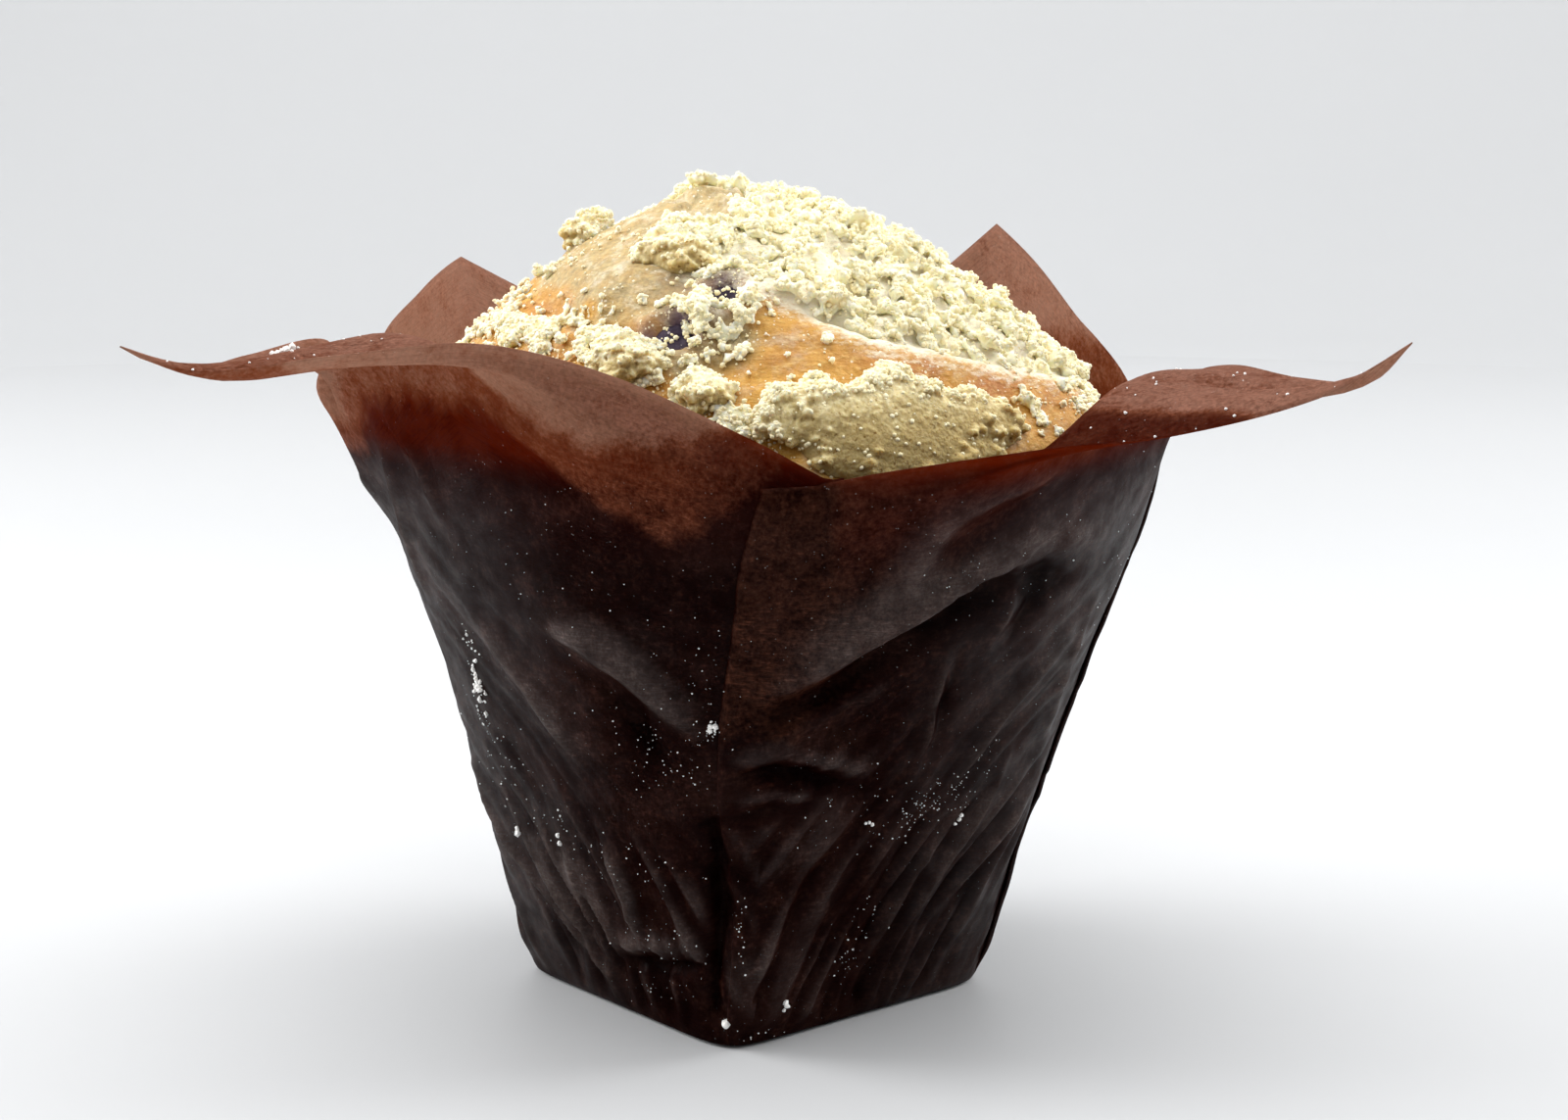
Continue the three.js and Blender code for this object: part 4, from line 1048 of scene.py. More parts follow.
def streusel_lump(name, lump, number, rng):
    """A lump of streusel: a cushion on the crown with crumbs all over it, melted into one skin."""
    azimuth, level, across, up, thick = lump
    middle = crown_points(np.array([float(azimuth)]), np.array([level]))[0]
    round_radius = math.hypot(middle[0], middle[1])
    step = 0.01
    higher = crown_points(np.array([float(azimuth)]), np.array([level + step]))[0]
    level_length = np.linalg.norm(higher - middle) / step
    big = across > BIG_LUMP
    bm = bmesh.new()
    bmesh.ops.create_icosphere(bm, subdivisions=5 if big else 4, radius=1)
    ball = np.array([vert.co for vert in bm.verts])
    turn = np.arctan2(ball[:, 1], ball[:, 0])
    share = clamp01(np.hypot(ball[:, 0], ball[:, 1]))
    ragged = 1 + 0.12 * np.sin(3 * turn + number) + 0.07 * np.sin(5 * turn + 2.3 * number)
    side = ball[:, 0] * ragged * across * 0.97
    rise = ball[:, 1] * ragged * up * 0.97
    if big:
        # Its upper edge is uneven, and its right end hangs down to the paper.
        uneven = 0.9 * np.sin(0.62 * side + 1.1) + 0.5 * np.sin(1.5 * side)
        rise += np.where(rise > 0, uneven, 0.0) * share ** 2
        rise -= 1.6 * smooth01(side / across) * (1 + 0.5 * share)
        side += 1.2 * smooth01(side / across)
    spot_azimuth = azimuth + np.degrees(side / round_radius)
    spot_level = clamp01(level + rise / level_length)
    dome = np.sign(ball[:, 2]) * np.sqrt(clamp01(1 - share ** 2.6))
    # The slab is thicker at its upper edge, so that its face is steep.
    leaning = 0.8 + 0.35 * rise / up if big else 1.0
    lift = np.where(ball[:, 2] > 0, 0.2 + (thick - 0.6) * dome * leaning, 0.4 * dome)
    on_crown = crown_points(spot_azimuth, spot_level)
    out = crown_normals(spot_azimuth, spot_level)
    spots = on_crown + out * lift[:, None]
    coarse_bumps = 0.16 if big else 0.3
    bumps = coarse_bumps * noise_at(spots, 2.6, 20 + number) + 0.14 * noise_at(spots, 1.1, 30 + number)
    spots += out * (bumps * (ball[:, 2] > -0.2))[:, None]
    for vert, spot in zip(bm.verts, spots):
        vert.co = spot
    upper = ball[:, 2] > 0.02
    edge = share > 0.55
    weight = np.where(upper, np.where(edge, 1.0, 0.5 if not big else 0.04), 0.0)
    if big:
        weight = weight * np.where(rise > 0.25 * up, 1.0, 0.2)
    count = int((3.2 if big else 5.5) * across * up)
    picked = rng.choice(len(spots), count, p=weight / weight.sum())
    lumps = 0.28 + 0.62 * rng.random(count) ** 1.6
    for k, size in zip(picked, lumps):
        grain, _ = knobbly_ball(2, 50 + k)
        place = spots[k] + out[k] * 0.15
        added = bmesh.ops.create_icosphere(bm, subdivisions=2, radius=1)["verts"]
        for vert, g in zip(added, grain):
            vert.co = Vector(place + g * size)
    piece = finish_mesh(name, bm)
    spots, normals, bulges = melt(piece, SLAB_VOXEL if big else LUMP_VOXEL, 1.0)
    high = (spots - middle) @ ((higher - middle) / np.linalg.norm(higher - middle)) / up
    # Painted shade and light: the slab is darker than the small lumps, most at its lower edge, faces that
    # point up are lighter, bulges are lighter and the crevices between them darker, and some noise varies the
    # tone at random.
    base, rising = (-0.02, 0.45) if big else (0.36, 0.3)
    tone = base + rising * high + 0.22 * normals[:, 2] + 0.25 * noise_at(spots, 3.0, 43)
    set_attribute(piece.data, "tone", clamp01(tone + 0.3 * bulges))
    return piece


def melt(piece, voxel, grain):
    """Melts the grains of a piece into one skin with a fine grain. Returns its points in millimetres, its
    normals, and how far each point bulges out of its surroundings, from -1 to 1."""
    remesh = piece.modifiers.new("Melt", "REMESH")
    remesh.mode = "VOXEL"
    remesh.voxel_size = voxel * MM
    melted = bpy.data.meshes.new_from_object(piece.evaluated_get(bpy.context.evaluated_depsgraph_get()))
    melted.name = piece.name
    piece.modifiers.clear()
    piece.data = melted
    bm = bmesh.new()
    bm.from_mesh(melted)
    bmesh.ops.smooth_vert(bm, verts=bm.verts, factor=0.5, use_axis_x=True, use_axis_y=True, use_axis_z=True)
    bm.normal_update()
    spots = np.array([vert.co for vert in bm.verts]) / MM
    heights = layered_noise(spots, ((0.09, 0.8, 41), (0.09, 0.4, 42)))
    pits = facets_at(spots, 1.1, 44)
    chosen = noise_at(spots, 1.6, 45) > 0.12
    heights -= 0.3 * chosen * smooth01((pits - 0.62) / 0.2)
    for vert, height in zip(bm.verts, grain * heights):
        vert.co += vert.normal * height * MM
    bm.normal_update()
    spots = np.array([vert.co for vert in bm.verts]) / MM
    normals = np.array([vert.normal for vert in bm.verts])
    ends = np.array([[vert.index for vert in edge.verts] for edge in bm.edges])
    bm.to_mesh(melted)
    bm.free()
    for polygon in melted.polygons:
        polygon.use_smooth = True
    # The surroundings: each point moves to the middle of its neighbours a few times.
    near = spots
    beside = np.bincount(ends.ravel(), minlength=len(spots))[:, None]
    for _ in range(5):
        near = np.stack([np.bincount(ends[:, 0], near[ends[:, 1], axis], len(spots))
                         + np.bincount(ends[:, 1], near[ends[:, 0], axis], len(spots)) for axis in range(3)],
                        axis=1) / beside
    bulges = ((spots - near) * normals).sum(axis=1) / (0.6 * voxel)
    return spots, normals, np.clip(bulges, -1, 1)


# ---- Shaders ----


class Shader:
    """Builds a node tree with short calls."""

    def __init__(self, tree):
        self.tree = tree

    def add(self, kind, settings=None, **inputs):
        node = self.tree.nodes.new("ShaderNode" + kind)
        for key, value in (settings or {}).items():
            setattr(node, key, value)
        for key, value in inputs.items():
            self.put(node.inputs[key.replace("_", " ")], value)
        return node

    def put(self, socket, value):
        if isinstance(value, bpy.types.NodeSocket):
            self.tree.links.new(value, socket)
        elif hasattr(value, "__len__") and socket.type == "RGBA" and len(value) == 3:
            socket.default_value = (*value, 1)
        else:
            socket.default_value = value

    def mix(self, factor, a, b, blend="MIX"):
        node = self.tree.nodes.new("ShaderNodeMix")
        node.data_type = "RGBA"
        node.blend_type = blend
        self.put(node.inputs[0], factor)
        self.put(node.inputs[6], a)
        self.put(node.inputs[7], b)
        return node.outputs[2]

    def tinted(self, factor, colour, by):
        """A colour multiplied by another one, as far as the factor says."""
        return self.mix(factor, colour, by, "MULTIPLY")

    def math(self, operation, a, b=0.0):
        node = self.tree.nodes.new("ShaderNodeMath")
        node.operation = operation
        self.put(node.inputs[0], a)
        self.put(node.inputs[1], b)
        return node.outputs[0]

    def times(self, first, *others):
        """The product of two or more values."""
        for other in others:
            first = self.math("MULTIPLY", first, other)
        return first

    def between(self, value, low, high, to_low=0.0, to_high=1.0):
        """A value between low and high, brought to lie between two other ends."""
        node = self.add("MapRange", {"clamp": True}, Value=value)
        for key, number in zip(("From Min", "From Max", "To Min", "To Max"), (low, high, to_low, to_high)):
            self.put(node.inputs[key], number)
        return node.outputs["Result"]

    def noise(self, vector, size, detail=3.0, roughness=0.5):
        """Noise with features of a size in millimetres."""
        node = self.add("TexNoise", Vector=vector, Scale=1 / (size * MM), Detail=detail, Roughness=roughness)
        return node.outputs["Fac"]

    def attribute(self, name):
        return self.add("Attribute", {"attribute_name": name}).outputs["Fac"]

    def group(self, name, **inputs):
        node = self.tree.nodes.new("ShaderNodeGroup")
        node.node_tree = bpy.data.node_groups[name]
        for key, value in inputs.items():
            self.put(node.inputs[key.replace("_", " ")], value)
        return node.outputs

    def coordinates(self):
        return self.add("TexCoord").outputs["Object"]


def new_group(name, inputs, outputs):
    tree = bpy.data.node_groups.new(name, "ShaderNodeTree")
    for key, kind, default in inputs:
        socket = tree.interface.new_socket(name=key, in_out="INPUT", socket_type=kind)
        if default is not None:
            socket.default_value = default
    for key, kind in outputs:
        tree.interface.new_socket(name=key, in_out="OUTPUT", socket_type=kind)
    shader = Shader(tree)
    entry = tree.nodes.new("NodeGroupInput")
    leave = tree.nodes.new("NodeGroupOutput")
    return shader, entry.outputs, leave.inputs


def make_grain_group():
    """Baked grain: a tone for the colour and a height for the bump, at a scale in features per metre."""
    g, given, out = new_group(
        "Baked Grain",
        [("Vector", "NodeSocketVector", None), ("Scale", "NodeSocketFloat", 1000.0)],
        [("Tone", "NodeSocketFloat"), ("Height", "NodeSocketFloat")],
    )
    coarse = g.add("TexNoise", Vector=given["Vector"], Scale=given["Scale"], Detail=5.0, Roughness=0.62)
    cells = g.add("TexVoronoi", {"feature": "F1"}, Vector=given["Vector"], Scale=given["Scale"])
    height = g.math("SUBTRACT", g.times(coarse.outputs["Fac"], 1.6), cells.outputs["Distance"])
    g.put(out["Tone"], g.between(coarse.outputs["Fac"], 0.3, 0.7))
    g.put(out["Height"], height)


def make_dust_group():
    """Fine white dust: a mask of small specks that gather in patches."""
    g, given, out = new_group(
        "Flour Dust",
        [("Vector", "NodeSocketVector", None), ("Scale", "NodeSocketFloat", 3000.0),
         ("Amount", "NodeSocketFloat", 0.3)],
        [("Mask", "NodeSocketFloat")],
    )
    cells = g.add("TexVoronoi", {"feature": "F1"}, Vector=given["Vector"], Scale=given["Scale"])
    sparse = g.add("SeparateColor", Color=cells.outputs["Color"])
    patches = g.add("TexNoise", Vector=given["Vector"], Scale=130.0, Detail=3.0, Roughness=0.6)
    chance = g.times(given["Amount"], g.between(patches.outputs["Fac"], 0.42, 0.72))
    there = g.math("LESS_THAN", sparse.outputs[0], chance)
    speck = g.math("LESS_THAN", cells.outputs["Distance"], g.times(sparse.outputs[1], 0.42))
    g.put(out["Mask"], g.times(there, speck))


def new_material(name):
    material = bpy.data.materials.new(name)
    material.use_nodes = True
    material.node_tree.nodes.clear()
    return material, Shader(material.node_tree)


def surface(shader, socket):
    shader.put(shader.tree.nodes.new("ShaderNodeOutputMaterial").inputs["Surface"], socket)


# Fibres of the paper: the direction of each set in degrees, and how long they are in millimetres.
FIBRES = ((12, 2.0), (-50, 1.7), (75, 2.2))
FIBRE_STRETCH = 8.0  # how much longer than wide a fibre is
CRINKLES = (60, 18, 1)  # for each unit of the UVs, across and along
CUP_HALF_WIDTH = 24.0  # at the foot
CUP_WIDENING = 0.33  # half width gained for each millimetre of height
SEE_THROUGH = 0.45  # share of the paper's look that is light from behind


def fibre_web(s, uv):
    """A mask of crossing fibres."""
    web = 0.0
    for angle, size in FIBRES:
        turned = s.add("Mapping", Vector=uv, Rotation=(0, 0, math.radians(angle)),
                       Scale=(1.0, FIBRE_STRETCH, 1.0))
        fibre = s.add("TexNoise", Vector=turned.outputs["Vector"], Scale=UV_SIZE / size, Detail=3.0,
                      Roughness=0.55)
        web = s.math("MAXIMUM", web, s.between(fibre.outputs["Fac"], 0.54, 0.68))
    return web


def paper_masks(s):
    """What the paper's colour, glow and sheen are mixed by."""
    m = SimpleNamespace()
    m.spot = s.coordinates()
    m.uv = s.add("UVMap", {"uv_map": "sheet"}).outputs["UV"]
    place = s.add("SeparateXYZ", Vector=m.spot).outputs
    m.sideways = place["X"]
    m.height = place["Z"]
    m.web = fibre_web(s, m.uv)
    m.mottle = s.between(s.noise(m.spot, 0.55, 4.0, 0.7), 0.34, 0.66)
    m.patchy = s.between(s.noise(m.spot, 3.0, 5.0, 0.62), 0.3, 0.7)
    # Fine mottling shifts how far the butter shows, most where the paper is only oiled.
    grease = s.attribute("grease")
    uneven = s.math("SUBTRACT", s.math("ADD", m.mottle, s.times(m.patchy, 0.9)), 0.95)
    m.soak = s.math("SUBTRACT", grease, s.times(uneven, 0.36, s.between(grease, 0.5, 1.0, 1.0, 0.3)))
    m.oiled = s.between(m.soak, 0.0, 0.5)
    m.soaked = s.between(m.soak, 0.5, 1.0)
    m.raised = s.attribute("raised")
    return m


def by_butter(s, m, dry, oiled, soaked):
    """One of three colours, by how far butter has soaked in."""
    return s.mix(m.soaked, s.mix(m.oiled, tuple(dry), tuple(oiled)), tuple(soaked))


def paper_colour(s, m, settings):
    """Painted shade in the hollows between creases and painted highlights on their ridges, clouds where the
    paper is soaked, fibres and a little flour.
    """
    base = by_butter(s, m, settings.dry, settings.oiled, settings.soaked)
    # Painted shade darkens the hollows between creases, and a painted highlight lightens their ridges low on
    # the cup.
    crease_shade = s.mix(s.between(m.raised, 0.25, 0.5), (0.35, 0.3, 0.3), (1.0, 1.0, 1.0))
    base = s.tinted(s.between(m.soak, 0.3, 0.8), base, crease_shade)
    sheen_mask = s.times(s.between(m.raised, 0.58, 0.95, 0.0, 0.85), s.between(m.patchy, 0.1, 0.9, 0.4, 1.0),
                     s.between(m.height, 55 * MM, 62 * MM, 1.0, 0.0))
    base = s.mix(sheen_mask, base, (0.07, 0.047, 0.04), "LIGHTEN")
    cloudy = s.between(s.noise(m.spot, 8.0, 3.0, 0.6), 0.48, 0.66)
    base = s.mix(s.times(cloudy, m.soaked), base, (0.012, 0.0055, 0.0042), "ADD")
    fine_grain = s.between(s.noise(m.spot, 0.3, 2.0, 0.6), 0.32, 0.68)
    base = s.tinted(1.0, base, s.mix(fine_grain, (0.62, 0.6, 0.6), (1.45, 1.45, 1.45)))
    base = s.tinted(1.0, base, s.mix(m.mottle, (0.72, 0.7, 0.7), (1.3, 1.3, 1.3)))
    # Fibres stand out most from dark paper.
    fibres = s.mix(m.oiled, s.tinted(1.0, base, (1.5, 1.45, 1.4)), s.tinted(1.0, base, (3.8, 3.9, 4.0)))
    strength = s.times(s.between(m.soaked, 0.0, 1.0, 0.6, 0.5), s.between(m.patchy, 0.2, 0.8, 0.35, 1.0))
    colour = s.mix(s.times(m.web, strength), base, fibres)
    dust = s.group("Flour Dust", Vector=m.spot, Scale=5200.0, Amount=0.06)["Mask"]
    return s.mix(s.times(dust, 0.5), colour, (0.5, 0.48, 0.45))


def paper_glow(s, m, settings):
    """The tint that one side of the sheet gives to light from behind."""
    glow = by_butter(s, m, settings.dry_glow, settings.oiled_glow, settings.soaked_glow)
    # Painted shade: the glow of soaked paper is darkened low down, where the cake behind it blocks the light.
    cake_shade = s.times(m.soaked, s.between(m.height, 60.5 * MM, 64 * MM, 1.0, 0.0))
    glow = s.tinted(cake_shade, glow, (0.32, 0.22, 0.25))
    glow = s.tinted(s.times(m.mottle, 0.5), glow, (0.7, 0.6, 0.55))
    return s.tinted(s.times(m.web, 0.7), glow, (0.62, 0.58, 0.55))


def paper_bump(s, m):
    """Fibres, and over them the crinkles of the whole sheet."""
    height = s.math("ADD", s.times(m.web, 0.5), s.noise(m.spot, 0.5, 3.0, 0.6))
    fine = s.add("Bump", Strength=0.3, Distance=0.05 * MM, Height=height)
    turned = s.add("Mapping", Vector=m.uv, Rotation=(0, 0, math.radians(-30)), Scale=CRINKLES)
    crinkle = s.add("TexVoronoi", {"feature": "DISTANCE_TO_EDGE"}, Vector=turned.outputs["Vector"], Scale=1.0)
    coarse = s.add("Bump", Strength=0.3, Distance=0.14 * MM, Height=crinkle.outputs["Distance"],
                   Normal=fine.outputs["Normal"])
    return coarse.outputs["Normal"]


def paper_sleekness(s, m):
    """How sleek the paper is: most at the corners of the cup and on creases, hardly at its front."""
    half_width = s.math("ADD", s.times(m.height, CUP_WIDENING), CUP_HALF_WIDTH * MM)
    cornered = s.math("DIVIDE", s.math("ABSOLUTE", m.sideways), half_width)
    sheen_mask = s.math("MAXIMUM", s.between(cornered, 0.4, 0.92, 0.14, 1.2),
                    s.between(m.raised, 0.6, 0.9, 0.0, 0.9))
    return s.times(s.between(m.height, 56 * MM, 64 * MM, 0.55, 0.04), s.between(m.patchy, 0.0, 1.0, 0.5, 1.4),
                   sheen_mask, s.between(m.raised, 0.3, 0.55, 0.35, 1.0))


def paper_material(settings):
    """Greaseproof paper: dry and fibrous where it is free, dark, sleek and see-through where soaked."""
    material, s = new_material("wrap_paper")
    m = paper_masks(s)
    bump = paper_bump(s, m)
    rough = s.math("ADD", s.between(m.soak, 0.0, 1.0, 0.6, 0.33),
                   s.times(s.math("SUBTRACT", m.mottle, 0.5), 0.14))
    front = s.add("BsdfPrincipled", Base_Color=paper_colour(s, m, settings), Roughness=rough,
                  Coat_Weight=paper_sleekness(s, m), Normal=bump, Coat_Normal=bump)
    front.inputs["IOR"].default_value = 1.5
    front.inputs["Specular IOR Level"].default_value = 0.0
    front.inputs["Coat Roughness"].default_value = 0.3
    behind = s.add("BsdfTranslucent", Color=paper_glow(s, m, settings), Normal=bump)
    both = s.add("MixShader", Fac=SEE_THROUGH)
    s.put(both.inputs[1], front.outputs[0])
    s.put(both.inputs[2], behind.outputs[0])
    surface(s, both.outputs[0])
    return material


FLOUR_ON_CRUST = (0.86, 0.8, 0.64)


def crust_material(settings, streusel):
    """The crust: golden and browner patches, floury skin, juice stains, and cream under the crumbs."""
    material, s = new_material("cake_crust")
    spot = s.coordinates()
    grain = s.group("Baked Grain", Vector=spot, Scale=1500.0)
    layered = s.add("Mapping", Vector=spot, Scale=(1, 1, 3.2)).outputs["Vector"]
    streaks = s.noise(layered, 1.1, 5.0, 0.65)
    patchy = s.between(s.noise(spot, 6.0, 4.0, 0.6), 0.35, 0.65)
    baked = s.math("MAXIMUM", s.times(patchy, 0.55), s.attribute("browned"))
    gold = s.mix(baked, tuple(settings.golden), tuple(settings.brown))
    # Paler streaks where the bump is raised: partly the crust's own paler streaks, partly a painted
    # highlight.
    gold = s.mix(s.between(streaks, 0.5, 0.75, 0.0, 0.6), gold, (0.86, 0.62, 0.23))
    mottle = s.between(s.noise(spot, 0.9, 6.0, 0.7), 0.35, 0.65)
    gold = s.tinted(s.times(mottle, 0.5), gold, (0.72, 0.6, 0.45))
    floury = s.attribute("floury")
    dark, light = (tuple(share * c for c in settings.floury) for share in (0.7, 1.35))
    worn = s.between(s.noise(spot, 1.8, 7.0, 0.72), 0.36, 0.6, 0.62, 1.0)
    colour = s.mix(s.times(floury, worn), gold, s.mix(grain["Tone"], dark, light))
    cream = s.mix(grain["Tone"], tuple(streusel.buttery), tuple(streusel.pale))
    colour = s.mix(s.attribute("crumbed"), colour, cream)
    juice = s.mix(s.noise(spot, 0.8, 3.0), tuple(settings.juice), (0.16, 0.09, 0.11))
    colour = s.mix(s.attribute("juice"), colour, juice)
    dust = s.group("Flour Dust", Vector=spot, Scale=2400.0, Amount=0.7)["Mask"]
    colour = s.mix(s.times(dust, 0.75), colour, FLOUR_ON_CRUST)
    # Streaks of flour at the edge of the thick crumbs, and a film of it on the floury skin.
    edge = s.math("ADD", s.times(s.attribute("dusted"), 0.55), s.noise(layered, 1.6, 7.0, 0.72))
    colour = s.mix(s.between(edge, 0.74, 0.98, 0.0, 0.85), colour, (0.88, 0.83, 0.66))
    film = s.between(s.noise(spot, 3.0, 8.0, 0.75), 0.5, 0.7, 0.0, 0.7)
    where = s.math("SUBTRACT", s.math("ADD", s.times(floury, 0.5), 0.5), s.times(s.attribute("browned"), 0.4))
    colour = s.mix(s.times(film, where), colour, (0.84, 0.78, 0.6))
    height = s.math("ADD", s.times(grain["Height"], 0.6), streaks)
    bump = s.add("Bump", Strength=0.7, Distance=0.35 * MM, Height=height)
    skin = s.add("BsdfPrincipled", Base_Color=colour, Roughness=0.62, Normal=bump.outputs["Normal"])
    skin.inputs["Subsurface Weight"].default_value = 0.15
    skin.inputs["Subsurface Radius"].default_value = (0.9, 0.5, 0.2)
    skin.inputs["Subsurface Scale"].default_value = 1.2 * MM
    surface(s, skin.outputs[0])
    return material


def streusel_material(name, settings, contrast, shade_and_browning, pit_shade, relief, softness=0.8):
    """Streusel: pale cream, buttery yellow in some grains, a darker brown where the tone is low, partly
    painted shade and partly at random, and painted shade in fine pits.
    contrast is how far the colour follows the pieces' tone."""
    material, s = new_material(name)
    spot = s.coordinates()
    grain = s.group("Baked Grain", Vector=spot, Scale=2600.0)
    tone = s.attribute("tone")
    mixed = s.math("ADD", s.times(tone, contrast), s.times(grain["Tone"], 1 - contrast))
    colour = s.mix(s.between(mixed, 0.15, 0.95), tuple(settings.buttery), tuple(settings.pale))
    # Painted shade: where the tone is low, in crevices, on undersides and at the slab's lower edge, the
    # colour turns to a darker brown.
    low = s.times(s.between(tone, 0.0, 0.55, 1.0, 0.0), shade_and_browning)
    colour = s.mix(low, colour, tuple(settings.browned))
    # Painted shade in fine pits: small patches of the colour are darkened.
    pits = s.between(s.noise(spot, 0.6, 2.0, 0.5), 0.30, 0.37, pit_shade, 0.0)
    colour = s.tinted(pits, colour, (0.55, 0.45, 0.3))
    bump = s.add("Bump", Strength=0.7, Distance=relief * MM, Height=grain["Height"])
    crumb = s.add("BsdfPrincipled", Base_Color=colour, Roughness=0.8, Normal=bump.outputs["Normal"])
    crumb.inputs["Specular IOR Level"].default_value = 0.3
    crumb.inputs["Subsurface Weight"].default_value = softness
    crumb.inputs["Subsurface Radius"].default_value = (1.0, 0.85, 0.55)
    crumb.inputs["Subsurface Scale"].default_value = 1.3 * MM
    surface(s, crumb.outputs[0])
    return material


def berry_material(settings):
    """Blueberry skin: dark purple under a dusty bloom, with flour on it."""
    material, s = new_material("berry_skin")
    spot = s.coordinates()
    bloom = s.between(s.noise(spot, 1.2, 4.0, 0.6), 0.4, 0.65)
    colour = s.mix(bloom, tuple(settings.skin), tuple(settings.bloom))
    dust = s.group("Flour Dust", Vector=spot, Scale=2400.0, Amount=0.4)["Mask"]
    colour = s.mix(s.times(dust, 0.6), colour, (0.6, 0.52, 0.52))
    bump = s.add("Bump", Strength=0.6, Distance=0.2 * MM, Height=s.noise(spot, 0.8, 4.0, 0.6))
    skin = s.add("BsdfPrincipled", Base_Color=colour, Roughness=0.55, Normal=bump.outputs["Normal"])
    skin.inputs["Specular IOR Level"].default_value = 0.2
    surface(s, skin.outputs[0])
    return material


def sugar_material():
    """Sugar and flour that fell on the wrap."""
    material, s = new_material("sugar_grains")
    tone = s.attribute("tone")
    colour = s.mix(tone, (0.78, 0.74, 0.68), (0.95, 0.94, 0.92))
    bump = s.add("Bump", Strength=0.4, Distance=0.1 * MM, Height=s.noise(s.coordinates(), 0.3))
    grain = s.add("BsdfPrincipled", Base_Color=colour, Roughness=0.5, Normal=bump.outputs["Normal"])
    surface(s, grain.outputs[0])
    return material


def dress(piece, material, slot, *nodes):
    """Gives a piece its material and its body, and hides the imported parts of the nodes that it stands for.
    slot is not used.
    """
    piece.data.materials.clear()
    piece.data.materials.append(material)
    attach(piece, BODY)
    if nodes:
        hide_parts(*nodes)


def mesh_arrays(obj):
    """Points in millimetres and triangles of an object's own mesh."""
    mesh = obj.data
    mesh.calc_loop_triangles()
    spots = np.zeros(len(mesh.vertices) * 3)
    mesh.vertices.foreach_get("co", spots)
    faces = np.zeros(len(mesh.loop_triangles) * 3, int)
    mesh.loop_triangles.foreach_get("vertices", faces)
    return spots.reshape(-1, 3) / MM, faces.reshape(-1, 3)


def point_values(obj, name):
    """The values of one of an object's attributes."""
    values = np.zeros(len(obj.data.vertices), np.float32)
    obj.data.attributes[name].data.foreach_get("value", values)
    return values


# ---- Operators ----


# name, place, what it points at, size, power
SOFTBOXES = (
    ("softbox_top", (-10, -40, 600), (0, 0, 40), 640, 2.4),
    ("softbox_back", (0, 500, 900), (0, 1200, 760), 700, 4.4),
    ("softbox_left", (-720, 120, 380), (0, 0, 50), 480, 6.4),
    ("softbox_right", (720, 200, 420), (0, 0, 50), 480, 4.8),
)
IMAGE_WIDTH = 1600  # pixels
PIXELS_PER_MM = 9.3  # in the middle of the image
SENSOR_WIDTH = 36.0
IMAGE_MIDDLE = (3.5, 47.25)  # x and height of the point in the middle of the image


def place_softboxes():
    """Four round soft lights."""
    for name, place, aim, size, power in SOFTBOXES:
        lamp = bpy.data.lights.new(name, "AREA")
        lamp.shape = "DISK"
        lamp.size = size * MM
        lamp.energy = power
        holder = new_object(name, lamp)
        holder.location = Vector(place) * MM
        holder.rotation_euler = (Vector(aim) - Vector(place)).to_track_quat("-Z", "Y").to_euler()


def place_camera(settings):
    """The camera, which looks a little down at the muffin's front."""
    distance = settings.camera_distance
    pitch = settings.camera_pitch
    camera = bpy.data.cameras.new("camera")
    camera.sensor_width = SENSOR_WIDTH
    camera.lens = PIXELS_PER_MM * distance / MM * SENSOR_WIDTH / IMAGE_WIDTH
    camera.clip_start = 0.01
    camera.clip_end = 20
    holder = new_object("camera", camera)
    across, height = IMAGE_MIDDLE
    holder.location = (across * MM, -distance * math.cos(pitch), height * MM + distance * math.sin(pitch))
    holder.rotation_euler = (math.pi / 2 - pitch, 0, 0)
    return holder


